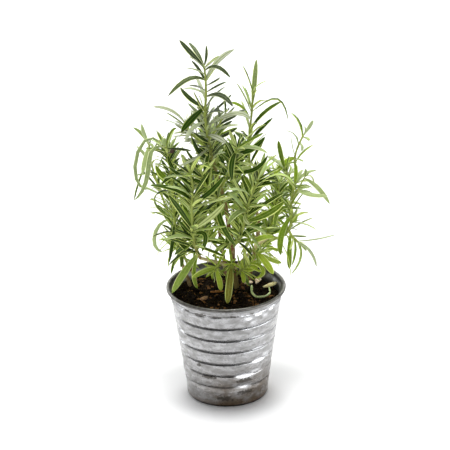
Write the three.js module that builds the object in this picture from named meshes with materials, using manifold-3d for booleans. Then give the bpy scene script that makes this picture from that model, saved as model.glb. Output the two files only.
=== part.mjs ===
// A young rosemary in a ribbed galvanised steel pot: the pot with its pressed bottom, the
// compost, five woody stems, the leafy shoots that grow from them, and the litter on the soil.
// Millimetres, +Z up, front towards -Y. The origin is the centre of the pot's flat underside.

import * as THREE from 'three';
import { mergeVertices } from 'three/addons/utils/BufferGeometryUtils.js';
import Module from 'manifold-3d';

const wasm = await Module();
wasm.setup();

// Pot
const potHeight = 97;
const rimRadius = 50;
const rollRadius = 1.5;
const sheet = 0.8;
const footRadius = 33.2;
const coneRadius = 32.9;
const coneSlope = 0.1515;
const footBand = 18;
const footStep = 8;
const ribCount = 6;
const ribPitch = 11.6;
const ribDepth = 0.9;
const potSides = 32;
const baseFlange = 7;
const baseSpread = 0.9;
const shoulder = footBand + ribCount * ribPitch;
const ribShares = [0, 0.16, 0.5, 0.84];
const lipShares = [0, 0.35, 0.7, 1];
const rollAngles = [-70, -28, 14, 56, 98, 139, 180];

// Soil
const soilEdge = 87;
const soilCrown = 2.6;
const soilSides = 28;
const soilRadius = 43.6;
const soilRings = [1, 0.85, 0.68, 0.5, 0.32, 0.15, 0];

// The gap that touching pieces keep, in the pot and in the plant
const gap = 0.3;

// Stems
const stemSides = 5;
const barkSides = 6;
const stepsPerPoint = 1.25;

// Leaves: how blunt they are, how far they widen at the root, how much of the width the ridge
// below is, and how far the sections crowd towards the two ends
const leafThickness = 0.8;
const leafBluntness = 0.6;
const leafFoot = 0.2;
const ridgeShare = 0.2;
const endCrowding = 0.07;
const shortLeaf = 20;

// Clearances between the leaves, measured between beads along them
const leafRoom = 1.25;
const siblingRoom = 2;
const rootBeads = 3;
const leafStations = 12;
const beadSpan = 12;
const sightShifts = [0, -3, 3, -6, 6, -9, 9, -12, 12, 15];

// The direction from the plant to the viewer, a little above the front
const viewRise = 0.4115;
const viewer = new THREE.Vector3(0, -Math.sqrt(1 - viewRise * viewRise), viewRise);

// The pairs of leaves between those that show: where the first one points, how much each
// differs, in degrees, radians and shares, and how often a leaf in the way is tried again
const seed = 2026;
const firstTurn = 35;
const turnSpread = 12;
const aroundSpread = 14;
const angleSpread = 10;
const bendRange = [0.2, 1.8];
const lengthRange = [0.75, 1.15];
const widthRange = [0.8, 1.2];
const rollSpread = 0.5;
const attempts = 8;
const attemptLoss = 0.06;

const steel = { color: 0xa9aaa8, roughness: 0.38, metalness: 0.9 };
const earth = { color: 0x1d1713, roughness: 1, metalness: 0 };
const bark = { color: 0x7d5f45, roughness: 0.85, metalness: 0 };
const foliage = { color: 0x5f7d35, roughness: 0.6, metalness: 0 };
const straw = { color: 0xc9b889, roughness: 0.8, metalness: 0 };

// The woody stems. `on` is the stem that carries this one and the place along it, from 0 to 1.
// `route` is the rest of the axis, and `radii` are the radii at its two ends.
const woods = [
  { name: 'wood_front', radii: [2.3, 1.4],
    route: [[10, 11, 58], [9, 10, 86], [8, 9, 99], [6, 8, 113], [6, 7, 130], [3, 5, 148],
      [1, 4, 166], [-3, 3, 184], [-6, 2, 198]] },
  { name: 'wood_right', on: ['wood_front', 0.33], radii: [1.6, 1.2],
    route: [[13, 8, 114], [25, 9, 127], [36, 11, 135]] },
  { name: 'wood_left', on: ['wood_front', 0.34], radii: [1.6, 1.4],
    route: [[-3, 3, 115], [-13, -3, 121], [-21, -7, 125]] },
  { name: 'wood_back', radii: [2.1, 1.4],
    route: [[18, 26, 58], [19, 27, 85], [22, 27, 103], [26, 28, 122], [28, 30, 138], [26, 31, 154]] },
  { name: 'wood_side', radii: [1.9, 1.4],
    route: [[-28, 18, 60], [-30, 18, 87], [-34, 17, 101], [-37, 16, 113]] },
  { name: 'wood_far', radii: [1.6, 1.3],
    route: [[-22, 29, 60], [-25, 30, 87], [-32, 31, 103]] },
  { name: 'wood_rear', radii: [1.9, 1.3],
    route: [[0, 33, 60], [0, 35, 87], [-2, 39, 108], [-5, 41, 128]] },
];

// The green shoots. A row of `leaves` is one leaf that shows: its place along the shoot, its
// width, how far its upper face turns to the viewer, then the way from its root to its middle
// and to its tip. `pairs` are the leaves between them, which stand in opposite pairs, each pair
// across the one below: how many pairs, from and to where, length, width, angle to the stem
// and bend outwards, in degrees.
const shoots = [
  { name: 'shoot_top', on: ['wood_front', 1], radii: [1.4, 0.7],
    route: [[-10, 1, 213], [-13, 0, 233], [-15, -1, 252], [-14, -2, 268], [-14, -2, 284], [-15, -2, 296]],
    pairs: [12, 0.05, 0.97, 26, 3.6, 42, 20],
    leaves: [
      [0.99, 4.6, 0.9, [-10, -1, 12], [-20, -2, 25]],
      [0.96, 2.4, 0, [-9, -4, 11], [-16, -6, 13]],
      [1, 3, 0.5, [2, 0, 9], [2, 1, 18]],
      [0.83, 4.4, 0.7, [10, 3, 15], [24, 6, 24]],
      [0.94, 3.8, 0.5, [10, -4, 5], [21, -9, -3]],
      [0.82, 4.4, 0.5, [-14, -5, 4], [-31, -10, -9]],
      [0.77, 2.6, 0.3, [7, 2, 3], [12, 3, 6]],
      [0.71, 2.8, 0.2, [9, 4, 4], [17, 8, 6]],
      [0.56, 4.2, 0.8, [-12, -8, 12], [-20, -12, 24]],
      [0.69, 3, 0.2, [-10, 4, 4], [-19, 8, 2]],
      [0.52, 3.6, 0.6, [-5, -8, 13], [-9, -12, 24]],
      [0.57, 6, 1, [-11, -10, -6], [-20, -16, -15]],
      [0.67, 5, 0.6, [12, -8, 5], [22, -14, -3]],
      [0.4, 4.6, 0.5, [22, -8, 15], [37, -12, 11]],
      [0.47, 2.6, 0.3, [14, 6, 10], [22, 12, 16]],
      [0.35, 3.2, 0.3, [13, -6, 8], [26, -10, 11]],
      [0.29, 3.6, 0.5, [12, -4, 6], [24, -8, 15]],
      [0.34, 4.6, 0.8, [8, -9, 1], [15, -14, -2]],
      [0.44, 3.8, 0.5, [-11, -6, -3], [-17, -9, -14]],
      [0.15, 5, 0.6, [-10, -4, 7], [-17, -6, 24]],
      [0.28, 4.6, 0.6, [-6, -3, 5], [-13, -4, 11]],
      [0.25, 3.2, 0.3, [-12, -8, -7], [-26, -12, -12]],
      [0.09, 4.8, 0.5, [-26, -6, -2], [-44, -8, -14]],
      [0.05, 6, 1, [10, -7, 17], [15, -8, 30]],
    ] },
  { name: 'shoot_upper_left', on: ['shoot_top', 0.23], radii: [0.9, 0.6],
    route: [[-19, 1, 227], [-27, 2, 234], [-31, 3, 242]],
    pairs: [3, 0.3, 0.9, 19, 3, 40, 20],
    leaves: [
      [0.97, 4, 0.5, [-11, -3, 14], [-27, -5, 19]],
      [0.9, 2.6, 0.2, [-9, 2, 7], [-17, 3, 12]],
      [0.83, 3, 0.3, [-10, -2, 6], [-20, -2, 10]],
      [0.72, 3.8, 0.4, [-17, -4, 11], [-37, -6, 0]],
    ] },
  { name: 'shoot_upper_right', on: ['shoot_top', 0.31], radii: [0.9, 0.6],
    route: [[-7, -3, 238], [-2, -5, 248], [2, -6, 256]],
    pairs: [4, 0.3, 0.97, 19, 3, 40, 15],
    leaves: [] },
  { name: 'shoot_inner_right', on: ['wood_front', 0.875], radii: [1.1, 0.7],
    route: [[3, -6, 199], [8, -14, 214], [11, -18, 229]],
    pairs: [5, 0.25, 0.97, 25, 3.8, 42, 20],
    leaves: [
      [0.97, 3.6, 0.4, [12, -4, 4], [25, -8, 0]],
      [0.9, 5.2, 0.7, [12, 3, 1], [24, 6, 11]],
      [0.72, 2.6, 0.2, [10, -5, -1], [18, -8, -1]],
      [0.47, 4.2, 0.5, [19, -6, 3], [31, -8, 17]],
      [1, 3.4, 0.4, [10, -3, 8], [21, -4, 14]],
      [0.92, 5.2, 0.9, [-4, -6, -8], [-4, -8, -22]],
      [0.44, 2.8, 0.4, [6, -8, -10], [14, -12, -24]],
    ] },
  { name: 'shoot_mid_right', on: ['wood_front', 0.485], radii: [1.3, 0.7],
    route: [[11, 0, 138], [15, -7, 152], [18, -13, 169], [22, -16, 185], [27, -17, 197], [29, -17, 206]],
    pairs: [9, 0.12, 0.97, 28, 4, 45, 22],
    leaves: [
      [0.45, 3.8, 0.5, [16, -5, 14], [32, -8, 25]],
      [0.4, 5.6, 0.9, [18, -8, 10], [33, -12, 23]],
      [0.76, 3.4, 0.1, [19, -6, 15], [33, -10, 7]],
      [0.5, 4.6, 0.8, [-8, -6, 2], [-16, -9, -7]],
      [0.87, 2.6, 0.3, [5, -3, 12], [12, -6, 25]],
      [0.99, 3.6, 0.5, [8, -2, 21], [13, -3, 43]],
      [0.48, 3.6, 0.6, [-1, -7, -2], [3, -9, -6]],
    ] },
  { name: 'shoot_inner_left', on: ['wood_front', 0.75], radii: [1.1, 0.7],
    route: [[-7, -5, 180], [-15, -13, 194], [-20, -16, 210]],
    pairs: [5, 0.25, 0.97, 26, 4, 42, 20],
    leaves: [
      [0.2, 5.4, 0.9, [1, -12, -14], [13, -16, -35]],
      [0.18, 4.6, 0.8, [-2, -5, -6], [4, -8, -17]],
    ] },
  { name: 'shoot_front', on: ['wood_front', 0.39], radii: [1, 0.8],
    route: [[5, 2, 116], [5, -1, 115]],
    pairs: [1, 0.8, 0.8, 12, 2.6, 50, 0],
    leaves: [
      [0.97, 6.2, 0.9, [-2, -16, -9], [-4, -28, -22]],
    ] },
  { name: 'shoot_trunk', on: ['wood_front', 0.506], radii: [0.9, 0.7],
    route: [[2, 2, 133], [-1, -1, 136]],
    pairs: [1, 0.9, 0.9, 12, 2.4, 40, 10],
    leaves: [
      [0.8, 2.8, 0.2, [-7, -2, 2], [-12, -2, 3]],
      [0.6, 3, 0.3, [-7, -4, -2], [-12, -6, -9]],
    ] },
  { name: 'shoot_low_left', on: ['wood_left', 0.333], radii: [1, 0.8],
    route: [[-7, -1, 114], [-10, -4, 111]],
    pairs: [1, 0.9, 0.9, 14, 3, 60, 10],
    leaves: [
      [0.65, 5.4, 0.7, [-9, -5, 0], [-20, -9, -4]],
      [0.75, 4.8, 0.9, [3, -5, -8], [4, -6, -17]],
      [0.5, 2.6, 0.3, [-5, -3, 7], [-10, -5, 13]],
      [0.55, 2.6, 0.3, [4, -3, 11], [8, -4, 18]],
    ] },
  { name: 'shoot_low_right', on: ['wood_front', 0.268], radii: [1.1, 0.8],
    route: [[14, 4, 109], [20, 0, 115]],
    pairs: [2, 0.4, 0.95, 18, 3.6, 50, 15],
    leaves: [
      [0.3, 5, 0.6, [6, -4, 8], [13, -6, 18]],
      [0.49, 4.4, 0.6, [8, -5, 3], [17, -6, 12]],
      [0.86, 4, 0.6, [8, -3, 3], [13, -6, -2], [6, -9, -7]],
      [0.35, 3.8, 0.7, [2, -3, -4], [2, -5, -9]],
    ] },
  { name: 'shoot_low_mid', on: ['wood_right', 0.6], radii: [1, 0.8],
    route: [[26, 5, 124], [29, 3, 123]],
    pairs: [1, 0.95, 0.95, 16, 3, 50, 10],
    leaves: [
      [0.6, 5.8, 1, [6, -6, -5], [13, -10, -15]],
      [0.8, 4, 0.5, [10, 3, -7], [19, 4, -11]],
      [0.7, 2.8, 0.2, [11, 2, 3], [21, 4, -2]],
      [0.9, 2.6, 0.3, [5, -2, 0], [9, -3, -6]],
    ] },
  { name: 'shoot_left', on: ['wood_left', 1], radii: [1.4, 0.7],
    route: [[-25, -12, 138], [-27, -16, 156], [-27, -17, 178], [-26, -17, 194], [-28, -16, 207]],
    pairs: [10, 0.1, 0.97, 28, 3.8, 45, 22],
    leaves: [
      [0.07, 6.2, 0.9, [-12, -8, -14], [-22, -14, -29]],
      [0.06, 3.6, 0.7, [-4, -6, -15], [-1, -10, -27]],
      [0.09, 4.4, 0.6, [-9, -3, 5], [-18, -4, 16]],
      [0.08, 2.6, 0.2, [-10, -5, 4], [-15, -8, 2]],
      [0.4, 5, 0.9, [-9, -3, 17], [-19, -5, 33]],
      [0.39, 5.2, 0.8, [15, -5, 13], [27, -8, 27]],
      [0.38, 3, 0.2, [14, -6, 5], [28, -10, 8]],
      [0.63, 4.6, 0.5, [-15, -5, 14], [-34, -8, 19]],
      [0.61, 5, 0.8, [15, -6, 13], [27, -8, 28]],
      [0.67, 3.8, 0.6, [7, -5, 15], [14, -7, 26]],
      [0.57, 3.4, 0.3, [19, -8, 10], [35, -12, 15]],
      [0.34, 4.6, 0.8, [10, -5, 2], [7, -8, -12]],
      [0.23, 4.8, 0.5, [-7, 5, -3], [-17, 8, -13]],
    ] },
  { name: 'shoot_right', on: ['wood_right', 1], radii: [1.2, 0.7],
    route: [[45, 14, 133], [52, 17, 137], [56, 20, 148], [55, 23, 160], [58, 27, 174], [59, 30, 187],
      [59, 32, 198], [62, 33, 208], [67, 35, 218]],
    pairs: [11, 0.14, 0.97, 25, 3.4, 42, 22],
    leaves: [
      [0.99, 3.4, 0.7, [5, 1, 7], [8, 2, 12]],
      [0.98, 2, 0.3, [2, 0, 4], [1, 0, 9]],
      [0.92, 2.6, 0.4, [2, -3, -3], [1, -4, -6]],
      [0.97, 3, 0.5, [4, -3, 0], [5, -4, -2]],
      [0.77, 5.2, 0.8, [-7, -5, -1], [-18, -9, -11]],
      [0.79, 2.4, 0.3, [-2, 0, 8], [-3, 0, 17]],
      [0.77, 2.2, 0.2, [4, -3, 0], [7, -5, -1]],
      [0.75, 3.2, 0.5, [1, -5, -8], [0, -7, -17]],
      [0.06, 4.8, 0.7, [-10, -5, 3], [-21, -9, -1]],
      [0.36, 5.4, 0.8, [-9, -6, -15], [-10, -8, -33]],
      [0.41, 3.8, 0.7, [-10, -8, 2], [-14, -12, -12]],
      [0.08, 2.6, 0.3, [8, -5, -12], [11, -9, -31]],
      [0.3, 2.8, 0.3, [3, -3, 3], [5, -4, 8]],
    ] },
  { name: 'shoot_right_droop', on: ['shoot_right', 0.24], radii: [1, 0.7],
    route: [[56, 14, 134], [61, 11, 130]],
    pairs: [1, 0.6, 0.6, 16, 2.8, 50, 10],
    leaves: [
      [0.9, 2.8, 0.1, [16, 3, 0], [32, 5, 3]],
      [0.98, 2.8, 0.2, [10, 0, -9], [15, -2, -22]],
      [0.9, 3, 0.3, [3, -3, -13], [-5, -5, -28]],
      [0.65, 3, 0.4, [1, -4, -10], [-2, -6, -22]],
      [0.24, 4.4, 0.9, [-1, -6, -16], [-1, -8, -29]],
      [0.98, 2.2, 0.2, [4, 2, -5], [7, 3, -10]],
    ] },
  { name: 'shoot_right_side', on: ['shoot_right', 0.452], radii: [0.9, 0.6],
    route: [[61, 24, 172], [67, 25, 183]],
    pairs: [2, 0.4, 0.9, 18, 2.8, 45, 20],
    leaves: [
      [0.95, 4.2, 0.6, [11, -3, -7], [21, -6, -21]],
      [0.48, 4.2, 0.6, [11, -5, -2], [25, -8, -2]],
      [0.99, 2.4, 0.2, [5, -2, 2], [8, -3, -5]],
      [0.99, 2.2, 0.2, [1, 0, 5], [1, 0, 8]],
    ] },
  { name: 'shoot_right_inner', on: ['shoot_right', 0.548], radii: [0.9, 0.6],
    route: [[53, 24, 183], [50, 22, 193]],
    pairs: [3, 0.35, 0.95, 18, 2.8, 40, 20],
    leaves: [
      [0.94, 4, 0.8, [-3, -2, 14], [-5, -3, 27]],
    ] },
  { name: 'shoot_back', on: ['wood_back', 1], radii: [1.3, 0.7],
    route: [[23, 33, 175], [21, 34, 199], [22, 35, 221], [24, 36, 241], [25, 36, 257]],
    pairs: [11, 0.05, 0.97, 25, 3.2, 38, 22],
    leaves: [
      [0.84, 4.4, 0.9, [2, 0, 20], [4, 0, 41]],
      [0.75, 2.8, 0.4, [-5, -3, 16], [-12, -5, 30]],
      [0.82, 2.2, 0.2, [-4, 4, 9], [-8, 6, 17]],
      [0.77, 2.6, 0.2, [12, -2, 10], [23, -4, 12], [30, -6, -6]],
      [0.6, 3.6, 0.6, [11, 2, 15], [27, 6, 24]],
      [0.69, 3.6, 0.5, [-7, -4, 14], [-17, -8, 20]],
      [0.99, 2.4, 0.2, [4, -3, 7], [12, -5, 12]],
    ] },
  { name: 'shoot_side', on: ['wood_side', 1], radii: [1.3, 0.7],
    route: [[-40, 14, 131], [-42, 12, 150], [-43, 9, 173], [-44, 7, 196], [-46, 5, 213], [-49, 4, 223]],
    pairs: [11, 0.08, 0.97, 24, 3.2, 42, 22],
    leaves: [
      [0.98, 3.2, 0.3, [-18, -3, 5], [-25, -6, -19], [-14, -8, -35]],
      [0.97, 4.4, 0.5, [-12, -6, -3], [-15, -8, -22], [-26, -8, -44]],
      [0.94, 3, 0.4, [4, 2, 13], [9, 3, 17]],
      [0.99, 2.2, 0.2, [-4, -3, 11], [-7, -4, 16]],
      [0.99, 2.2, 0.2, [-1, 1, 9], [-4, 2, 14]],
      [0.94, 2.8, 0.3, [10, -3, 1], [21, -5, 0]],
      [0.85, 3.4, 0.7, [2, -6, -6], [6, -8, -12]],
      [0.61, 5, 0.8, [-8, -5, 8], [-13, -7, 18]],
      [0.36, 3.4, 0.3, [-11, -3, 8], [-16, -4, 18], [-12, -4, 25]],
      [0.34, 3.4, 0.6, [-2, -3, -18], [-5, -4, -36]],
      [0.07, 2.6, 0.3, [-5, -3, -9], [-7, -4, -18]],
      [0.08, 3.4, 0.6, [2, -4, -6], [1, -6, -12]],
    ] },
  { name: 'shoot_far', on: ['wood_far', 1], radii: [1.2, 0.7],
    route: [[-41, 36, 124], [-48, 39, 148], [-56, 40, 173], [-61, 40, 194], [-62, 40, 209]],
    pairs: [9, 0.1, 0.97, 24, 3, 40, 22],
    leaves: [
      [1, 3.4, 0.8, [-4, 0, 9], [-6, 0, 18]],
      [0.99, 4, 0.8, [-4, -2, -14], [-6, -4, -26]],
      [1, 2.6, 0.3, [2, -2, 0], [4, -3, -4]],
      [0.86, 2.6, 0.3, [-9, -3, -21], [-14, -4, -40]],
      [0.33, 3.6, 0.5, [-10, -2, -4], [-14, -4, -17], [-7, -4, -27]],
    ] },
  { name: 'shoot_rear', on: ['wood_rear', 1], radii: [1.2, 0.7],
    route: [[-8, 44, 148], [-10, 45, 170], [-11, 45, 192], [-10, 44, 212]],
    pairs: [9, 0.08, 0.98, 26, 3.4, 42, 22],
    leaves: [] },
  { name: 'shoot_rear_left', on: ['wood_rear', 0.667], radii: [1.1, 0.7],
    route: [[-12, 43, 119], [-22, 46, 136], [-28, 47, 154], [-30, 46, 172]],
    pairs: [7, 0.2, 0.98, 26, 3.4, 45, 20],
    leaves: [] },
  { name: 'shoot_rear_mid', on: ['wood_back', 0.6], radii: [1.1, 0.7],
    route: [[21, 36, 134], [14, 43, 150], [9, 46, 168], [8, 46, 188]],
    pairs: [8, 0.2, 0.98, 26, 3.4, 42, 22],
    leaves: [] },
  { name: 'shoot_rear_right', on: ['wood_back', 0.4], radii: [1.1, 0.7],
    route: [[31, 35, 118], [39, 40, 134], [44, 43, 152], [46, 44, 170]],
    pairs: [7, 0.2, 0.98, 26, 3.4, 45, 20],
    leaves: [] },
];

function randomFrom(start) {
  let state = start;
  return (low, high) => {
    state = (state * 1664525 + 1013904223) % 4294967296;
    return low + (high - low) * (state / 4294967296);
  };
}

function vector([x, y, z]) {
  return new THREE.Vector3(x, y, z);
}

function mix(ends, t) {
  return ends[0] + (ends[1] - ends[0]) * t;
}

function toSolid(geometry) {
  geometry.deleteAttribute('normal');
  geometry.deleteAttribute('uv');
  const merged = mergeVertices(geometry);
  const corners = merged.index.array;
  const faces = [];
  for (let i = 0; i < corners.length; i += 3) {
    const [a, b, c] = [corners[i], corners[i + 1], corners[i + 2]];
    if (a !== b && b !== c && c !== a) {
      faces.push(a, b, c);
    }
  }
  return new wasm.Manifold(new wasm.Mesh({
    numProp: 3,
    vertProperties: Float32Array.from(merged.attributes.position.array),
    triVerts: Uint32Array.from(faces),
  }));
}

function toGeometry(solid) {
  const mesh = solid.getMesh();
  const geometry = new THREE.BufferGeometry();
  geometry.setAttribute('position', new THREE.BufferAttribute(mesh.vertProperties, 3));
  geometry.setIndex(new THREE.BufferAttribute(mesh.triVerts, 1));
  geometry.computeVertexNormals();
  return geometry;
}

function toMesh(name, geometry, look) {
  const mesh = new THREE.Mesh(geometry, new THREE.MeshStandardMaterial(look));
  mesh.name = name;
  return mesh;
}

// Bends an upright cylinder of height 1: `place` gives the section's centre and its two
// directions at every height from 0 to 1.
function bend(cylinder, place) {
  const position = cylinder.attributes.position;
  for (let i = 0; i < position.count; i += 1) {
    const section = place(position.getY(i) + 0.5);
    const point = section.centre.clone()
      .addScaledVector(section.across, position.getX(i))
      .addScaledVector(section.over, position.getZ(i));
    position.setXYZ(i, point.x, point.y, point.z);
  }
  return cylinder;
}

function coneAt(z) {
  return coneRadius + coneSlope * z;
}

// The wall's outer profile from the table to the shoulder, as crests between sharp grooves.
function wallOutside() {
  const points = [[footRadius, 0], [footRadius + 1, footStep], [coneAt(footBand - 2), footBand - 2]];
  for (let rib = 0; rib < ribCount; rib += 1) {
    for (const share of ribShares) {
      const z = footBand + (rib + share) * ribPitch;
      points.push([coneAt(z) - ribDepth * Math.abs(2 * share - 1) ** 3, z]);
    }
  }
  return points;
}

// The flare from the shoulder to the underside of the rolled rim, as [radius, height].
function lipPoint(share) {
  const low = coneAt(shoulder) - ribDepth;
  const high = rimRadius - 1.35 * rollRadius;
  const top = potHeight - 1.9 * rollRadius;
  return [low + (high - low) * share ** 1.5, shoulder + (top - shoulder) * share];
}

function potWall() {
  const outline = wallOutside();
  for (const share of lipShares) {
    outline.push(lipPoint(share));
  }
  for (const degrees of rollAngles) {
    const angle = THREE.MathUtils.degToRad(degrees);
    outline.push([
      rimRadius - rollRadius + rollRadius * Math.cos(angle),
      potHeight - rollRadius + rollRadius * Math.sin(angle),
    ]);
  }
  for (const share of [lipShares[2], lipShares[1]]) {
    const [radius, z] = lipPoint(share);
    outline.push([radius - sheet, z]);
  }
  for (const z of [shoulder, footBand]) {
    outline.push([coneAt(z) - ribDepth - sheet, z]);
  }
  outline.push([footRadius + 1 - sheet, footStep]);
  outline.push([footRadius - sheet, 0]);
  outline.push(outline[0]);
  const profile = outline.map(([radius, z]) => new THREE.Vector2(radius, z));
  return new THREE.LatheGeometry(profile, potSides).rotateX(Math.PI / 2);
}

// A shallow pressed pan inside the foot of the wall, flat on the table.
function potBase() {
  const edge = footRadius - sheet - gap;
  const top = edge + baseSpread;
  const profile = [
    [0, 0], [edge, 0], [top, baseFlange], [top - sheet, baseFlange],
    [edge - sheet, sheet], [0, sheet],
  ].map(([radius, z]) => new THREE.Vector2(radius, z));
  return new THREE.LatheGeometry(profile, potSides).rotateX(Math.PI / 2);
}

function soilReach(z) {
  return coneAt(z) - ribDepth - sheet - gap;
}

function soilTop(x, y) {
  const share = Math.min(1, Math.hypot(x, y) / soilRadius);
  const crown = soilCrown * (1 - share * share);
  const lumps = 0.8 * Math.sin(x / 7 + 1) * Math.cos(y / 6) + 0.5 * Math.sin(x / 3.1 + y / 4.3);
  return soilEdge + crown + lumps;
}

function soilBlock() {
  const edge = footRadius - 2 * sheet - 2 * gap;
  const profile = [
    new THREE.Vector2(0, sheet + gap), new THREE.Vector2(edge, sheet + gap),
    new THREE.Vector2(edge + baseSpread / 2, baseFlange + gap),
    new THREE.Vector2(soilReach(footBand), footBand),
  ];
  for (const share of soilRings) {
    profile.push(new THREE.Vector2(soilRadius * share, soilEdge));
  }
  const block = new THREE.LatheGeometry(profile, soilSides).rotateX(Math.PI / 2);
  const position = block.attributes.position;
  for (let i = 0; i < position.count; i += 1) {
    if (position.getZ(i) > soilEdge - 1) {
      position.setZ(i, soilTop(position.getX(i), position.getY(i)));
    }
  }
  return block;
}

// The directions across a stem: `side` points right and `back` points to the rear on an
// upright one.
function stemFrame(curve, t) {
  const ahead = curve.getTangent(t);
  const side = new THREE.Vector3(0, 1, 0).cross(ahead).normalize();
  const back = ahead.clone().cross(side);
  return { ahead, side, back };
}

function stemTube(stem, extra) {
  const sides = stem.bark ? barkSides : stemSides;
  const points = stem.curve.points.map((point) => point.clone());
  if (extra > 0) {
    const start = points[0].clone().sub(points[1]).setLength(extra);
    points[0].add(start);
  }
  const curve = new THREE.CatmullRomCurve3(points, false, 'catmullrom');
  const steps = Math.max(2, Math.round((points.length - 1) * stepsPerPoint));
  return bend(new THREE.CylinderGeometry(1, 1, 1, sides, steps), (t) => {
    const { ahead, side } = stemFrame(curve, t);
    const radius = mix(stem.radii, t) + extra;
    return {
      centre: curve.getPoint(t),
      across: side.clone().multiplyScalar(radius),
      over: side.clone().cross(ahead).multiplyScalar(radius),
    };
  });
}

// Where a shoot starts: on the axis of a carrier of its own kind, and clear of the bark by the
// gap on a woody one, past its end or beside it.
function startOf(row, carrier, isBark) {
  const axis = carrier.curve.getPoint(row.on[1]);
  if (carrier.bark === isBark) {
    return axis;
  }
  const away = vector(row.route[0]).sub(axis).normalize();
  const lean = carrier.curve.getTangent(row.on[1]).angleTo(away);
  if (row.on[1] === 1) {
    return axis.addScaledVector(away, (gap + row.radii[0] * Math.sin(lean)) / Math.cos(lean));
  }
  const reach = mix(carrier.radii, row.on[1]) + gap + row.radii[0] * Math.abs(Math.cos(lean));
  return axis.addScaledVector(away, reach / Math.sin(lean));
}

function growStem(row, isBark, stems) {
  const points = row.route.map(vector);
  const carrier = row.on ? stems.get(row.on[0]) : null;
  if (carrier) {
    points.unshift(startOf(row, carrier, isBark));
  }
  const shared = carrier && carrier.bark === isBark;
  const curve = new THREE.CatmullRomCurve3(points, false, 'catmullrom');
  return { ...row, curve, bark: isBark, node: shared ? carrier.node : row.name };
}

// Clearance: every stem and leaf leaves a string of beads, and a new leaf is kept only where
// its own beads clear those of the other pieces.
const placed = [];

function addBeads(node, points, radius) {
  const ball = new THREE.Box3().setFromPoints(points).getBoundingSphere(new THREE.Sphere());
  placed.push({ node, points, radius, ball });
}

function stemBeads(stem) {
  const count = beadSpan * (stem.curve.points.length - 1);
  for (let i = 0; i <= count; i += beadSpan) {
    const points = [];
    for (let k = i; k <= Math.min(i + beadSpan, count); k += 2) {
      points.push(stem.curve.getPoint(k / count));
    }
    addBeads(stem.node, points, mix(stem.radii, i / count));
  }
}

function leafCurve(points) {
  if (points.length === 3) {
    const [root, middle, tip] = points;
    const pull = middle.clone().multiplyScalar(2).addScaledVector(root, -0.5).addScaledVector(tip, -0.5);
    return new THREE.QuadraticBezierCurve3(root, pull, tip);
  }
  const [root, first, second, tip] = points;
  const pull = first.clone().multiplyScalar(3).addScaledVector(root, -5 / 6)
    .addScaledVector(second, -1.5).addScaledVector(tip, 1 / 3);
  const push = second.clone().multiplyScalar(3).addScaledVector(tip, -5 / 6)
    .addScaledVector(first, -1.5).addScaledVector(root, 1 / 3);
  return new THREE.CubicBezierCurve3(root, pull, push, tip);
}

function leafShare(t) {
  return Math.sin(Math.PI * t) ** leafBluntness + leafFoot * (1 - t) ** 4;
}

function leafBeads(leaf) {
  const chord = leaf.points[leaf.points.length - 1].clone().sub(leaf.points[0]);
  const across = chord.cross(leaf.up).normalize();
  const curve = leafCurve(leaf.points);
  const beads = [];
  for (let station = 0; station < leafStations; station += 1) {
    const t = (station + 1) / leafStations;
    const half = 0.4 * leaf.width * leafShare(Math.min(t, 0.97));
    for (const offset of [-half, 0, half]) {
      beads.push(curve.getPoint(t).addScaledVector(across, offset));
    }
  }
  return beads;
}

function hitsPot(point) {
  const radius = Math.hypot(point.x, point.y);
  const room = leafRoom + gap;
  if (point.z > potHeight + room || radius > rimRadius + room) {
    return false;
  }
  return radius > soilRadius - room || point.z < soilTop(point.x, point.y) + room;
}

function isClear(leaf) {
  const beads = leafBeads(leaf);
  if (beads.some(hitsPot)) {
    return false;
  }
  const ball = new THREE.Box3().setFromPoints(beads).getBoundingSphere(new THREE.Sphere());
  for (const other of placed) {
    const own = other.node === leaf.node;
    const room = own ? siblingRoom : leafRoom + other.radius + gap;
    const reach = ball.radius + other.ball.radius + room;
    if (ball.center.distanceTo(other.ball.center) > reach) {
      continue;
    }
    for (let i = rootBeads; i < beads.length; i += 1) {
      for (let k = own ? rootBeads : 0; k < other.points.length; k += 1) {
        if (beads[i].distanceTo(other.points[k]) < room) {
          return false;
        }
      }
    }
  }
  addBeads(leaf.node, beads, leafRoom);
  return true;
}

// A leaf from its root to its tip. Its upper face looks back along the stem, and turns
// towards the viewer by `face`, or about its own length by `roll`.
function describeLeaf(stem, at, ways, width, face, roll) {
  const root = stem.curve.getPoint(at);
  const ahead = stem.curve.getTangent(at);
  const points = [root, ...ways.map((way) => root.clone().add(way))];
  const chord = ways[ways.length - 1].clone().normalize();
  const out = chord.clone().addScaledVector(ahead, -chord.dot(ahead)).normalize();
  const up = ahead.clone().sub(out).normalize().multiplyScalar(1 - face).addScaledVector(viewer, face);
  up.addScaledVector(chord, -up.dot(chord)).normalize();
  const aside = chord.cross(up);
  const turned = up.multiplyScalar(Math.cos(roll)).addScaledVector(aside, Math.sin(roll));
  return { node: stem.node, points, up: turned, width };
}

// The leaves that show keep their place in the view: one that would touch another piece moves
// along the line of sight, the tip most.
function shownLeaf(stem, [at, width, face, ...ways]) {
  for (const shift of sightShifts) {
    const moved = ways.map((way, i) => vector(way)
      .addScaledVector(viewer, -shift * (i + 1) / ways.length));
    const leaf = describeLeaf(stem, at, moved, width, face, 0);
    if (isClear(leaf)) {
      const length = moved[moved.length - 1].length();
      return { ...leaf, steps: ways.length + (length > shortLeaf ? 2 : 1) };
    }
  }
  return null;
}

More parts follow.
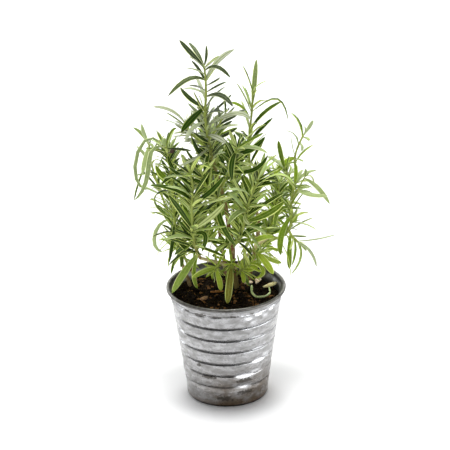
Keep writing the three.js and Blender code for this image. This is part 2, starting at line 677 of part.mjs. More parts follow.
function pairLeaf(stem, at, turn, random) {
  const [, , , length, width, angle, bendOut] = stem.pairs;
  const { ahead, side, back } = stemFrame(stem.curve, at);
  for (let attempt = 0; attempt < attempts; attempt += 1) {
    const around = THREE.MathUtils.degToRad(turn + random(-aroundSpread, aroundSpread));
    const first = THREE.MathUtils.degToRad(angle + random(-angleSpread, angleSpread));
    const second = first + THREE.MathUtils.degToRad(bendOut * random(...bendRange));
    const half = length * random(...lengthRange) * (1 - attemptLoss * attempt) / 2;
    const out = side.clone().multiplyScalar(Math.cos(around)).addScaledVector(back, Math.sin(around));
    const middle = ahead.clone().multiplyScalar(half * Math.cos(first))
      .addScaledVector(out, half * Math.sin(first));
    const tip = middle.clone().addScaledVector(ahead, half * Math.cos(second))
      .addScaledVector(out, half * Math.sin(second));
    const roll = random(-rollSpread, rollSpread);
    const leaf = describeLeaf(stem, at, [middle, tip], width * random(...widthRange), 0, roll);
    if (isClear(leaf)) {
      return { ...leaf, steps: 3 };
    }
  }
  return null;
}

// A flat-topped blade with a ridge below: three-sided sections along the leaf's curve.
function leafBlade(leaf) {
  const curve = leafCurve(leaf.points);
  const corner = Math.sqrt(3) / 2;
  return bend(new THREE.CylinderGeometry(1, 1, 1, 3, leaf.steps), (height) => {
    const t = height - endCrowding * Math.sin(2 * Math.PI * height);
    const share = height > 0.999 ? 0 : leafShare(t);
    const ahead = curve.getTangent(t);
    const over = leaf.up.clone().addScaledVector(ahead, -leaf.up.dot(ahead)).normalize().negate();
    const across = ahead.clone().cross(over);
    const thick = Math.max(leafThickness, ridgeShare * leaf.width) * Math.sqrt(share) / 1.5;
    return {
      centre: curve.getPoint(t).addScaledVector(over, 0.5 * thick),
      across: across.multiplyScalar(0.5 * leaf.width * share / corner),
      over: over.multiplyScalar(thick),
    };
  });
}

function growLeaves(stems) {
  const leaves = [];
  for (const stem of stems) {
    for (const row of stem.leaves) {
      leaves.push(shownLeaf(stem, row));
    }
  }
  const random = randomFrom(seed);
  const most = Math.max(...stems.map((stem) => stem.pairs[0]));
  for (let pair = 0; pair < most; pair += 1) {
    for (const stem of stems) {
      const [count, from, to] = stem.pairs;
      if (pair < count) {
        const at = count === 1 ? from : from + (to - from) * pair / (count - 1);
        const turn = firstTurn + 90 * (count - pair) + random(-turnSpread, turnSpread);
        leaves.push(pairLeaf(stem, at, turn, random), pairLeaf(stem, at, turn + 180, random));
      }
    }
  }
  return leaves.filter(Boolean);
}

// Litter on the soil. Each point is [right, back, lift above the soil].
const litterLift = 0.5;

function onSoil([x, y, lift], thickness) {
  return new THREE.Vector3(x, y, soilTop(x, y) + gap + thickness + lift);
}

function litterStick(points, radius) {
  const raised = points.map((point) => onSoil(point, radius + litterLift));
  const curve = new THREE.CatmullRomCurve3(raised, false, 'catmullrom');
  return { node: 'litter', bark: false, curve, radii: [radius, radius * 0.7] };
}

function litterLeaf(points, width) {
  const raised = points.map((point) => onSoil(point, leafThickness + litterLift));
  return { node: 'litter', points: raised, up: new THREE.Vector3(0, 0, 1), width, steps: 4 };
}

const dryLeaf = litterLeaf([[32, 12, 0.2], [37.5, 13.5, 2], [42, 15, 5]], 5);
const dryPetal = litterLeaf([[16, 17, 0.3], [19, 19, 1.6], [22.5, 19, 0.6]], 4.4);
const dryHusk = litterLeaf([[25, 18, 0.2], [27, 21, 2.2], [27.5, 25, 1.2]], 4.4);
const stalkWay = [[21.5, 10, 1.2], [21.5, 0, 0.2], [25, -9, 0.2], [32, -9, 0.2], [36.5, 0, 0.6],
  [36, 7, 1.4]];
const greenStalk = litterStick(stalkWay, 0.9);
const brownTwig = litterStick([[-13, 0, 0.2], [-8, 1, 0.2], [-2, 0, 0.3]], 1.1);

// A flat lump with a dozen facets, turned a little on the soil.
function barkChip() {
  const [halfLength, halfWidth, halfHeight] = [5.6, 3, 1.5];
  const chip = new THREE.DodecahedronGeometry(1, 0).scale(halfLength, halfWidth, halfHeight).rotateZ(0.8);
  const place = onSoil([-18.5, -12.5, 0], halfHeight + litterLift);
  return chip.translate(place.x, place.y, place.z);
}

const stems = new Map();
for (const row of woods) {
  stems.set(row.name, growStem(row, true, stems));
}
for (const row of shoots) {
  stems.set(row.name, growStem(row, false, stems));
}
for (const stem of stems.values()) {
  stemBeads(stem);
}
for (const stick of [greenStalk, brownTwig]) {
  stemBeads(stick);
}
for (const leaf of [dryLeaf, dryPetal, dryHusk]) {
  addBeads('litter', leafBeads(leaf), leafRoom);
}

const greens = [...stems.values()].filter((stem) => !stem.bark);
const leaves = growLeaves(greens);

const solids = new Map();
function join(node, geometry) {
  const piece = toSolid(geometry);
  solids.set(node, solids.has(node) ? solids.get(node).add(piece) : piece);
}

let soil = toSolid(soilBlock());
for (const stem of stems.values()) {
  join(stem.node, stemTube(stem, 0));
  if (stem.bark && !stem.on) {
    soil = soil.subtract(toSolid(stemTube(stem, gap)));
  }
}
for (const leaf of leaves) {
  join(leaf.node, leafBlade(leaf));
}

// Lowers a piece of litter until it lies on the soil, the gap above it.
function settle(geometry, ground) {
  const position = geometry.attributes.position;
  const down = new THREE.Vector3(0, 0, -1);
  let clearance = potHeight;
  for (let i = 0; i < position.count; i += 1) {
    const start = new THREE.Vector3(position.getX(i), position.getY(i), potHeight);
    for (const hit of new THREE.Raycaster(start, down).intersectObject(ground)) {
      clearance = Math.min(clearance, position.getZ(i) - hit.point.z);
    }
  }
  return geometry.translate(0, 0, gap - clearance);
}

const ground = toMesh('soil', toGeometry(soil), earth);
const plant = new THREE.Group();
plant.add(
  toMesh('pot', potWall(), steel),
  toMesh('pot_base', potBase(), steel),
  ground,
  toMesh('litter_dry_leaf', settle(leafBlade(dryLeaf), ground), straw),
  toMesh('litter_petal', settle(leafBlade(dryPetal), ground), straw),
  toMesh('litter_husk', settle(leafBlade(dryHusk), ground), straw),
  toMesh('litter_stalk', settle(stemTube(greenStalk, 0), ground), foliage),
  toMesh('litter_twig', settle(stemTube(brownTwig, 0), ground), bark),
  toMesh('litter_bark', settle(barkChip(), ground), bark),
);
for (const [node, solid] of solids) {
  plant.add(toMesh(node, toGeometry(solid), stems.get(node).bark ? bark : foliage));
}

export default plant;
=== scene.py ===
# %% [markdown]
# # A potted rosemary in a ribbed steel pot
# This lesson dresses a solid model of a young rosemary plant. The solid model is packed already
# and is loaded as a fixed frame: every piece in it has its real size and place, but few faces
# and one plain colour. Each step makes one piece again with finer faces and gives it a finish.
# The camera comes first, and the last steps add the floor and the light.

# %% Load the solid model
import math
import random

import bmesh
import bpy
import numpy as np
from mathutils import Matrix, Vector, noise
from mathutils.kdtree import KDTree


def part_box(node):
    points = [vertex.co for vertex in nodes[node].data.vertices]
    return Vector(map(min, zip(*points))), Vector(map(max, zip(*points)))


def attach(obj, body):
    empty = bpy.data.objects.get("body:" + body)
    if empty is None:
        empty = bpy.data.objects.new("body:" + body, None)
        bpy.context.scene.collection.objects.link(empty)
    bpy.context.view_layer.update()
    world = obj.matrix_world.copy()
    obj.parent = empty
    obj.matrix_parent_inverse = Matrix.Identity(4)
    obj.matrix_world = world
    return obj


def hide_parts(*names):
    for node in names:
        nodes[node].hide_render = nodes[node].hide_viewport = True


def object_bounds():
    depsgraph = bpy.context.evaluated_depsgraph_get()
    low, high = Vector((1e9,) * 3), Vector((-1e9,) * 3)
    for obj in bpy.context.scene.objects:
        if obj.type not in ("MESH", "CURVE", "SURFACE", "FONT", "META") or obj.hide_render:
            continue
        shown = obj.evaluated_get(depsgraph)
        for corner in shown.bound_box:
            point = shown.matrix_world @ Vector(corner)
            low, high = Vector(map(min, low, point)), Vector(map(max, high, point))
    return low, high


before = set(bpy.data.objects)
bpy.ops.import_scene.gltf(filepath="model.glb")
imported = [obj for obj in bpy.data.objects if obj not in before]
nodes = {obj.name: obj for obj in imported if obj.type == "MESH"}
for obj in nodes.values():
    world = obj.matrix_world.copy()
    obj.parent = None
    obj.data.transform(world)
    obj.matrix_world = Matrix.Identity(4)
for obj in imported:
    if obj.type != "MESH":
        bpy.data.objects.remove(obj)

scene = bpy.context.scene
MM = 0.001
cad_low, cad_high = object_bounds()
print("solid model, mm:", [round(side / MM) for side in cad_high - cad_low])

# %% [markdown]
# ## The camera
# The photograph looks down on the plant by about 24 degrees, from far away: the pot's upright
# sides hardly run together. A camera could be placed by eye, but the ellipse of the rim gives
# the angle, and a long lens from five metres gives the flat view. The camera comes first, so
# that every piece can be looked at as it is made.

# %% Camera
view_down = math.radians(24.3)
view_distance = 5.0
view_width = 0.3735
view_centre = Vector((0, 0, 0.1517))
view_roll = math.radians(-0.93)

camera_data = bpy.data.cameras.new("camera")
camera_data.angle = 2 * math.atan(view_width / 2 / view_distance)
camera_data.dof.use_dof = False
camera = bpy.data.objects.new("camera", camera_data)
scene.collection.objects.link(camera)
look = Vector((0, math.cos(view_down), -math.sin(view_down)))
turn = look.to_track_quat("-Z", "Y").to_matrix().to_4x4() @ Matrix.Rotation(view_roll, 4, "Z")
camera.matrix_world = Matrix.Translation(view_centre - look * view_distance) @ turn
scene.camera = camera
print("camera at", [round(value, 2) for value in camera.location])

# %% [markdown]
# ## Shaping helpers
# Most of this plant is tubes: stems, leaves, twigs. An extrusion along a curve could make them
# one by one, but hundreds of leaves would be slow that way. Here one straight tube of radius 1
# is extruded ring by ring, and copies of it are then bent: each vertex keeps its place in the
# section and is carried to its place along the leaf or stem. Round pieces are spun from half
# an outline. Lengths are in millimetres until a piece is finished.

# %% Helpers: corners and meshes
def rise(value, start, end):
    """Rises evenly from 0 to 1 while the value goes from start to end."""
    return min(max((value - start) / (end - start), 0), 1)


def as_mesh(bm, name):
    """Writes a bmesh to a new mesh."""
    mesh = bpy.data.meshes.new(name)
    bm.to_mesh(mesh)
    bm.free()
    return mesh


def corners_of(mesh):
    """The places of a mesh's corners."""
    return np.array([corner.co for corner in mesh.vertices])


def carry(bm, places):
    """Carries the corners of a bmesh to their places."""
    for corner, place in zip(bm.verts, places):
        corner.co = place


# %% Helpers: tube and spin
def unit_tube(sides, stations):
    """A tube of radius 1 along z with a ring at each station from 0 to 1 and closed ends."""
    bm = bmesh.new()
    bmesh.ops.create_circle(bm, segments=sides, radius=1)
    rim = bm.edges[:]
    for low, high in zip(stations, stations[1:]):
        grown = bmesh.ops.extrude_edge_only(bm, edges=rim)["geom"]
        rim = [part for part in grown if isinstance(part, bmesh.types.BMEdge)]
        risen = [part for part in grown if isinstance(part, bmesh.types.BMVert)]
        bmesh.ops.translate(bm, verts=risen, vec=(0, 0, high - low))
    bmesh.ops.holes_fill(bm, edges=bm.edges, sides=sides)
    bmesh.ops.recalc_face_normals(bm, faces=bm.faces)
    return bm


def turned(profile, steps, closed=False):
    """Spins an outline of (radius, height) about the z axis."""
    bm = bmesh.new()
    points = [bm.verts.new((radius, 0, height)) for radius, height in profile]
    edges = [bm.edges.new(pair) for pair in zip(points, points[1:])]
    if closed:
        edges.append(bm.edges.new((points[-1], points[0])))
    bmesh.ops.spin(bm, geom=points + edges, axis=(0, 0, 1), cent=(0, 0, 0),
                   angle=2 * math.pi, steps=steps, use_merge=True)
    bmesh.ops.remove_doubles(bm, verts=bm.verts, dist=0.001)
    bmesh.ops.recalc_face_normals(bm, faces=bm.faces)
    return bm


# %% Helper: finish a piece
def finish_piece(bm, name, finishes, replaced):
    """Makes a bmesh in millimetres the piece that stands for the replaced nodes."""
    bmesh.ops.scale(bm, vec=(MM, MM, MM), verts=bm.verts)
    mesh = as_mesh(bm, name)
    for finish in finishes:
        mesh.materials.append(finish)
    mesh.shade_smooth()
    piece = bpy.data.objects.new(name, mesh)
    scene.collection.objects.link(piece)
    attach(piece, "root")
    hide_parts(*replaced)
    print(name, "faces:", len(mesh.polygons))
    return piece


# %% Helpers: shader nodes
def paint(red, green, blue):
    """A colour as a painter mixes it, 0 to 255, as the renderer wants it."""
    parts = [value / 255 for value in (red, green, blue)]
    return (*[part / 12.92 if part <= 0.04045 else ((part + 0.055) / 1.055) ** 2.4
              for part in parts], 1)


def new_finish(name, roughness, metallic=0, specular=0.5):
    """A material, and its node tree's main shader."""
    material = bpy.data.materials.new(name)
    material.use_nodes = True
    shader = material.node_tree.nodes["Principled BSDF"]
    shader.inputs["Roughness"].default_value = roughness
    shader.inputs["Metallic"].default_value = metallic
    shader.inputs["Specular IOR Level"].default_value = specular
    return material, shader


def feed(shader, socket, value):
    """Sets an input of a shader node, or links it."""
    if isinstance(value, bpy.types.NodeSocket):
        shader.id_data.links.new(value, shader.inputs[socket])
    elif value is not None:
        shader.inputs[socket].default_value = value


def add_node(shader, kind, output, settings=(), **sockets):
    """A new node beside the shader, with its settings and inputs. Returns the named output."""
    made = shader.id_data.nodes.new("ShaderNode" + kind)
    for key, value in dict(settings).items():
        setattr(made, key, value)
    for key, value in sockets.items():
        feed(made, key.replace("_", " "), value)
    return made.outputs[output]


# %% Helpers: patterns
def place_on(shader, stretch=(1, 1, 1)):
    """Object coordinates, stretched."""
    spot = add_node(shader, "TexCoord", "Object")
    return add_node(shader, "Mapping", "Vector", Vector=spot, Scale=stretch)


def grain(shader, size, detail=3, stretch=(1, 1, 1), rough=0.5):
    """Noise with grains of a size in millimetres."""
    return add_node(shader, "TexNoise", "Fac", Vector=place_on(shader, stretch),
                    Scale=1 / (size * MM), Detail=detail, Roughness=rough)


def step(shader, value, low, high, start=0, end=1):
    """Runs smoothly from start to end while the value goes from low to high."""
    return add_node(shader, "MapRange", "Result", {"interpolation_type": "SMOOTHSTEP"}, Value=value,
                    From_Min=low, From_Max=high, To_Min=start, To_Max=end)


# %% Helpers: sums, mixes, relief and attributes
def calc(shader, operation, first, second=None):
    """One sum of two values."""
    node = shader.id_data.nodes.new("ShaderNodeMath")
    node.operation = operation
    feed(node, 0, first)
    feed(node, 1, second)
    return node.outputs[0]


def times(shader, first, *more):
    """The product of two or more values."""
    for value in more:
        first = calc(shader, "MULTIPLY", first, value)
    return first


def mixed(shader, share, first, second):
    """A mix of two colours."""
    node = shader.id_data.nodes.new("ShaderNodeMix")
    node.data_type = "RGBA"
    feed(node, 0, share)
    feed(node, 6, first)
    feed(node, 7, second)
    return node.outputs[2]


def relief(shader, height, depth, strength=1.0):
    """A bump of a depth in millimetres."""
    return add_node(shader, "Bump", "Normal", Height=height, Distance=depth * MM, Strength=strength)


def apart(shader, vector):
    """The three numbers of a vector."""
    node = shader.id_data.nodes.new("ShaderNodeSeparateXYZ")
    feed(node, 0, vector)
    return node.outputs


def attribute(shader, name):
    """The first three numbers of a point attribute."""
    return apart(shader, add_node(shader, "Attribute", "Vector", {"attribute_name": name}))


# %% [markdown]
# ## How the plant grew
# The solid model holds each shoot as one fused body, too coarse to show a leaf's groove and
# rolled margins. The leaves could be cut out of it again, but it is easier to grow them anew:
# the same stems, the same leaf rows and the same seeded draws give the same plant. Where the
# solid model moved or left out a leaf that would have touched another, its own vertices tell:
# a leaf belongs where its tip lies on one of them. Points are in millimetres.

# %% Woody stems
# A stem starts on `on`, another stem and the place along it. `route` is the rest of its middle
# line, and `radii` are the radii at its two ends.
woods = [
    dict(name="wood_front", radii=(2.3, 1.4),
         route=[(10, 11, 58), (9, 10, 86), (8, 9, 99), (6, 8, 113), (6, 7, 130), (3, 5, 148),
                (1, 4, 166), (-3, 3, 184), (-6, 2, 198)]),
    dict(name="wood_right", on=("wood_front", 0.33), radii=(1.6, 1.2),
         route=[(13, 8, 114), (25, 9, 127), (36, 11, 135)]),
    dict(name="wood_left", on=("wood_front", 0.34), radii=(1.6, 1.4),
         route=[(-3, 3, 115), (-13, -3, 121), (-21, -7, 125)]),
    dict(name="wood_back", radii=(2.1, 1.4),
         route=[(18, 26, 58), (19, 27, 85), (22, 27, 103), (26, 28, 122), (28, 30, 138),
                (26, 31, 154)]),
    dict(name="wood_side", radii=(1.9, 1.4),
         route=[(-28, 18, 60), (-30, 18, 87), (-34, 17, 101), (-37, 16, 113)]),
    dict(name="wood_far", radii=(1.6, 1.3),
         route=[(-22, 29, 60), (-25, 30, 87), (-32, 31, 103)]),
    dict(name="wood_rear", radii=(1.9, 1.3),
         route=[(0, 33, 60), (0, 35, 87), (-2, 39, 108), (-5, 41, 128)]),
]
print("woody stems and branches:", len(woods))

# %% Green shoots and the leaves that show
# A row of `leaves` is one leaf that shows: its place along the shoot, its width, how far its
# upper face turns to the viewer, then the way from its root to its middle and to its tip.
# `pairs` are the leaves between them, which stand in opposite pairs, each pair across the one
# below: how many pairs, from and to where, length, width, angle to the stem and bend outwards,
# in degrees.
shoots = [
    dict(name="shoot_top", on=("wood_front", 1), radii=(1.4, 0.7),
         route=[(-10, 1, 213), (-13, 0, 233), (-15, -1, 252), (-14, -2, 268), (-14, -2, 284),
                (-15, -2, 296)],
         pairs=(12, 0.05, 0.97, 26, 3.6, 42, 20),
         leaves=[
             (0.99, 4.6, 0.9, (-10, -1, 12), (-20, -2, 25)),
             (0.96, 2.4, 0, (-9, -4, 11), (-16, -6, 13)),
             (1, 3, 0.5, (2, 0, 9), (2, 1, 18)),
             (0.83, 4.4, 0.7, (10, 3, 15), (24, 6, 24)),
             (0.94, 3.8, 0.5, (10, -4, 5), (21, -9, -3)),
             (0.82, 4.4, 0.5, (-14, -5, 4), (-31, -10, -9)),
             (0.77, 2.6, 0.3, (7, 2, 3), (12, 3, 6)),
             (0.71, 2.8, 0.2, (9, 4, 4), (17, 8, 6)),
             (0.56, 4.2, 0.8, (-12, -8, 12), (-20, -12, 24)),
             (0.69, 3, 0.2, (-10, 4, 4), (-19, 8, 2)),
             (0.52, 3.6, 0.6, (-5, -8, 13), (-9, -12, 24)),
             (0.57, 6, 1, (-11, -10, -6), (-20, -16, -15)),
             (0.67, 5, 0.6, (12, -8, 5), (22, -14, -3)),
             (0.4, 4.6, 0.5, (22, -8, 15), (37, -12, 11)),
             (0.47, 2.6, 0.3, (14, 6, 10), (22, 12, 16)),
             (0.35, 3.2, 0.3, (13, -6, 8), (26, -10, 11)),
             (0.29, 3.6, 0.5, (12, -4, 6), (24, -8, 15)),
             (0.34, 4.6, 0.8, (8, -9, 1), (15, -14, -2)),
             (0.44, 3.8, 0.5, (-11, -6, -3), (-17, -9, -14)),
             (0.15, 5, 0.6, (-10, -4, 7), (-17, -6, 24)),
             (0.28, 4.6, 0.6, (-6, -3, 5), (-13, -4, 11)),
             (0.25, 3.2, 0.3, (-12, -8, -7), (-26, -12, -12)),
             (0.09, 4.8, 0.5, (-26, -6, -2), (-44, -8, -14)),
             (0.05, 6, 1, (10, -7, 17), (15, -8, 30)),
         ]),
    dict(name="shoot_upper_left", on=("shoot_top", 0.23), radii=(0.9, 0.6),
         route=[(-19, 1, 227), (-27, 2, 234), (-31, 3, 242)],
         pairs=(3, 0.3, 0.9, 19, 3, 40, 20),
         leaves=[
             (0.97, 4, 0.5, (-11, -3, 14), (-27, -5, 19)),
             (0.9, 2.6, 0.2, (-9, 2, 7), (-17, 3, 12)),
             (0.83, 3, 0.3, (-10, -2, 6), (-20, -2, 10)),
             (0.72, 3.8, 0.4, (-17, -4, 11), (-37, -6, 0)),
         ]),
    dict(name="shoot_upper_right", on=("shoot_top", 0.31), radii=(0.9, 0.6),
         route=[(-7, -3, 238), (-2, -5, 248), (2, -6, 256)],
         pairs=(4, 0.3, 0.97, 19, 3, 40, 15),
         leaves=[]),
    dict(name="shoot_inner_right", on=("wood_front", 0.875), radii=(1.1, 0.7),
         route=[(3, -6, 199), (8, -14, 214), (11, -18, 229)],
         pairs=(5, 0.25, 0.97, 25, 3.8, 42, 20),
         leaves=[
             (0.97, 3.6, 0.4, (12, -4, 4), (25, -8, 0)),
             (0.9, 5.2, 0.7, (12, 3, 1), (24, 6, 11)),
             (0.72, 2.6, 0.2, (10, -5, -1), (18, -8, -1)),
             (0.47, 4.2, 0.5, (19, -6, 3), (31, -8, 17)),
             (1, 3.4, 0.4, (10, -3, 8), (21, -4, 14)),
             (0.92, 5.2, 0.9, (-4, -6, -8), (-4, -8, -22)),
             (0.44, 2.8, 0.4, (6, -8, -10), (14, -12, -24)),
         ]),
    dict(name="shoot_mid_right", on=("wood_front", 0.485), radii=(1.3, 0.7),
         route=[(11, 0, 138), (15, -7, 152), (18, -13, 169), (22, -16, 185), (27, -17, 197),
                (29, -17, 206)],
         pairs=(9, 0.12, 0.97, 28, 4, 45, 22),
         leaves=[
             (0.45, 3.8, 0.5, (16, -5, 14), (32, -8, 25)),
             (0.4, 5.6, 0.9, (18, -8, 10), (33, -12, 23)),
             (0.76, 3.4, 0.1, (19, -6, 15), (33, -10, 7)),
             (0.5, 4.6, 0.8, (-8, -6, 2), (-16, -9, -7)),
             (0.87, 2.6, 0.3, (5, -3, 12), (12, -6, 25)),
             (0.99, 3.6, 0.5, (8, -2, 21), (13, -3, 43)),
             (0.48, 3.6, 0.6, (-1, -7, -2), (3, -9, -6)),
         ]),
    dict(name="shoot_inner_left", on=("wood_front", 0.75), radii=(1.1, 0.7),
         route=[(-7, -5, 180), (-15, -13, 194), (-20, -16, 210)],
         pairs=(5, 0.25, 0.97, 26, 4, 42, 20),
         leaves=[
             (0.2, 5.4, 0.9, (1, -12, -14), (13, -16, -35)),
             (0.18, 4.6, 0.8, (-2, -5, -6), (4, -8, -17)),
         ]),
    dict(name="shoot_front", on=("wood_front", 0.39), radii=(1, 0.8),
         route=[(5, 2, 116), (5, -1, 115)],
         pairs=(1, 0.8, 0.8, 12, 2.6, 50, 0),
         leaves=[
             (0.97, 6.2, 0.9, (-2, -16, -9), (-4, -28, -22)),
         ]),
    dict(name="shoot_trunk", on=("wood_front", 0.506), radii=(0.9, 0.7),
         route=[(2, 2, 133), (-1, -1, 136)],
         pairs=(1, 0.9, 0.9, 12, 2.4, 40, 10),
         leaves=[
             (0.8, 2.8, 0.2, (-7, -2, 2), (-12, -2, 3)),
             (0.6, 3, 0.3, (-7, -4, -2), (-12, -6, -9)),
         ]),
    dict(name="shoot_low_left", on=("wood_left", 0.333), radii=(1, 0.8),
         route=[(-7, -1, 114), (-10, -4, 111)],
         pairs=(1, 0.9, 0.9, 14, 3, 60, 10),
         leaves=[
             (0.65, 5.4, 0.7, (-9, -5, 0), (-20, -9, -4)),
             (0.75, 4.8, 0.9, (3, -5, -8), (4, -6, -17)),
             (0.5, 2.6, 0.3, (-5, -3, 7), (-10, -5, 13)),
             (0.55, 2.6, 0.3, (4, -3, 11), (8, -4, 18)),
         ]),
    dict(name="shoot_low_right", on=("wood_front", 0.268), radii=(1.1, 0.8),
         route=[(14, 4, 109), (20, 0, 115)],
         pairs=(2, 0.4, 0.95, 18, 3.6, 50, 15),
         leaves=[
             (0.3, 5, 0.6, (6, -4, 8), (13, -6, 18)),
             (0.49, 4.4, 0.6, (8, -5, 3), (17, -6, 12)),
             (0.86, 4, 0.6, (8, -3, 3), (13, -6, -2), (6, -9, -7)),
             (0.35, 3.8, 0.7, (2, -3, -4), (2, -5, -9)),
         ]),
    dict(name="shoot_low_mid", on=("wood_right", 0.6), radii=(1, 0.8),
         route=[(26, 5, 124), (29, 3, 123)],
         pairs=(1, 0.95, 0.95, 16, 3, 50, 10),
         leaves=[
             (0.6, 5.8, 1, (6, -6, -5), (13, -10, -15)),
             (0.8, 4, 0.5, (10, 3, -7), (19, 4, -11)),
             (0.7, 2.8, 0.2, (11, 2, 3), (21, 4, -2)),
             (0.9, 2.6, 0.3, (5, -2, 0), (9, -3, -6)),
         ]),
    dict(name="shoot_left", on=("wood_left", 1), radii=(1.4, 0.7),
         route=[(-25, -12, 138), (-27, -16, 156), (-27, -17, 178), (-26, -17, 194), (-28, -16, 207)],
         pairs=(10, 0.1, 0.97, 28, 3.8, 45, 22),
         leaves=[
             (0.07, 6.2, 0.9, (-12, -8, -14), (-22, -14, -29)),
             (0.06, 3.6, 0.7, (-4, -6, -15), (-1, -10, -27)),
             (0.09, 4.4, 0.6, (-9, -3, 5), (-18, -4, 16)),
             (0.08, 2.6, 0.2, (-10, -5, 4), (-15, -8, 2)),
             (0.4, 5, 0.9, (-9, -3, 17), (-19, -5, 33)),
             (0.39, 5.2, 0.8, (15, -5, 13), (27, -8, 27)),
             (0.38, 3, 0.2, (14, -6, 5), (28, -10, 8)),
             (0.63, 4.6, 0.5, (-15, -5, 14), (-34, -8, 19)),
             (0.61, 5, 0.8, (15, -6, 13), (27, -8, 28)),
             (0.67, 3.8, 0.6, (7, -5, 15), (14, -7, 26)),
             (0.57, 3.4, 0.3, (19, -8, 10), (35, -12, 15)),
             (0.34, 4.6, 0.8, (10, -5, 2), (7, -8, -12)),
             (0.23, 4.8, 0.5, (-7, 5, -3), (-17, 8, -13)),
         ]),
    dict(name="shoot_right", on=("wood_right", 1), radii=(1.2, 0.7),
         route=[(45, 14, 133), (52, 17, 137), (56, 20, 148), (55, 23, 160), (58, 27, 174),
                (59, 30, 187),
                (59, 32, 198), (62, 33, 208), (67, 35, 218)],
         pairs=(11, 0.14, 0.97, 25, 3.4, 42, 22),
         leaves=[
             (0.99, 3.4, 0.7, (5, 1, 7), (8, 2, 12)),
             (0.98, 2, 0.3, (2, 0, 4), (1, 0, 9)),
             (0.92, 2.6, 0.4, (2, -3, -3), (1, -4, -6)),
             (0.97, 3, 0.5, (4, -3, 0), (5, -4, -2)),
             (0.77, 5.2, 0.8, (-7, -5, -1), (-18, -9, -11)),
             (0.79, 2.4, 0.3, (-2, 0, 8), (-3, 0, 17)),
             (0.77, 2.2, 0.2, (4, -3, 0), (7, -5, -1)),
             (0.75, 3.2, 0.5, (1, -5, -8), (0, -7, -17)),
             (0.06, 4.8, 0.7, (-10, -5, 3), (-21, -9, -1)),
             (0.36, 5.4, 0.8, (-9, -6, -15), (-10, -8, -33)),
             (0.41, 3.8, 0.7, (-10, -8, 2), (-14, -12, -12)),
             (0.08, 2.6, 0.3, (8, -5, -12), (11, -9, -31)),
             (0.3, 2.8, 0.3, (3, -3, 3), (5, -4, 8)),
         ]),
    dict(name="shoot_right_droop", on=("shoot_right", 0.24), radii=(1, 0.7),
         route=[(56, 14, 134), (61, 11, 130)],
         pairs=(1, 0.6, 0.6, 16, 2.8, 50, 10),
         leaves=[
             (0.9, 2.8, 0.1, (16, 3, 0), (32, 5, 3)),
             (0.98, 2.8, 0.2, (10, 0, -9), (15, -2, -22)),
             (0.9, 3, 0.3, (3, -3, -13), (-5, -5, -28)),
             (0.65, 3, 0.4, (1, -4, -10), (-2, -6, -22)),
             (0.24, 4.4, 0.9, (-1, -6, -16), (-1, -8, -29)),
             (0.98, 2.2, 0.2, (4, 2, -5), (7, 3, -10)),
         ]),
    dict(name="shoot_right_side", on=("shoot_right", 0.452), radii=(0.9, 0.6),
         route=[(61, 24, 172), (67, 25, 183)],
         pairs=(2, 0.4, 0.9, 18, 2.8, 45, 20),
         leaves=[
             (0.95, 4.2, 0.6, (11, -3, -7), (21, -6, -21)),
             (0.48, 4.2, 0.6, (11, -5, -2), (25, -8, -2)),
             (0.99, 2.4, 0.2, (5, -2, 2), (8, -3, -5)),
             (0.99, 2.2, 0.2, (1, 0, 5), (1, 0, 8)),
         ]),
    dict(name="shoot_right_inner", on=("shoot_right", 0.548), radii=(0.9, 0.6),
         route=[(53, 24, 183), (50, 22, 193)],
         pairs=(3, 0.35, 0.95, 18, 2.8, 40, 20),
         leaves=[
             (0.94, 4, 0.8, (-3, -2, 14), (-5, -3, 27)),
         ]),
    dict(name="shoot_back", on=("wood_back", 1), radii=(1.3, 0.7),
         route=[(23, 33, 175), (21, 34, 199), (22, 35, 221), (24, 36, 241), (25, 36, 257)],
         pairs=(11, 0.05, 0.97, 25, 3.2, 38, 22),
         leaves=[
             (0.84, 4.4, 0.9, (2, 0, 20), (4, 0, 41)),
             (0.75, 2.8, 0.4, (-5, -3, 16), (-12, -5, 30)),
             (0.82, 2.2, 0.2, (-4, 4, 9), (-8, 6, 17)),
             (0.77, 2.6, 0.2, (12, -2, 10), (23, -4, 12), (30, -6, -6)),
             (0.6, 3.6, 0.6, (11, 2, 15), (27, 6, 24)),
             (0.69, 3.6, 0.5, (-7, -4, 14), (-17, -8, 20)),
             (0.99, 2.4, 0.2, (4, -3, 7), (12, -5, 12)),
         ]),
    dict(name="shoot_side", on=("wood_side", 1), radii=(1.3, 0.7),
         route=[(-40, 14, 131), (-42, 12, 150), (-43, 9, 173), (-44, 7, 196), (-46, 5, 213),
                (-49, 4, 223)],
         pairs=(11, 0.08, 0.97, 24, 3.2, 42, 22),
         leaves=[
             (0.98, 3.2, 0.3, (-18, -3, 5), (-25, -6, -19), (-14, -8, -35)),
             (0.97, 4.4, 0.5, (-12, -6, -3), (-15, -8, -22), (-26, -8, -44)),
             (0.94, 3, 0.4, (4, 2, 13), (9, 3, 17)),
             (0.99, 2.2, 0.2, (-4, -3, 11), (-7, -4, 16)),
             (0.99, 2.2, 0.2, (-1, 1, 9), (-4, 2, 14)),
             (0.94, 2.8, 0.3, (10, -3, 1), (21, -5, 0)),
             (0.85, 3.4, 0.7, (2, -6, -6), (6, -8, -12)),
             (0.61, 5, 0.8, (-8, -5, 8), (-13, -7, 18)),
             (0.36, 3.4, 0.3, (-11, -3, 8), (-16, -4, 18), (-12, -4, 25)),
             (0.34, 3.4, 0.6, (-2, -3, -18), (-5, -4, -36)),
             (0.07, 2.6, 0.3, (-5, -3, -9), (-7, -4, -18)),
             (0.08, 3.4, 0.6, (2, -4, -6), (1, -6, -12)),
         ]),
    dict(name="shoot_far", on=("wood_far", 1), radii=(1.2, 0.7),
         route=[(-41, 36, 124), (-48, 39, 148), (-56, 40, 173), (-61, 40, 194), (-62, 40, 209)],
         pairs=(9, 0.1, 0.97, 24, 3, 40, 22),
         leaves=[
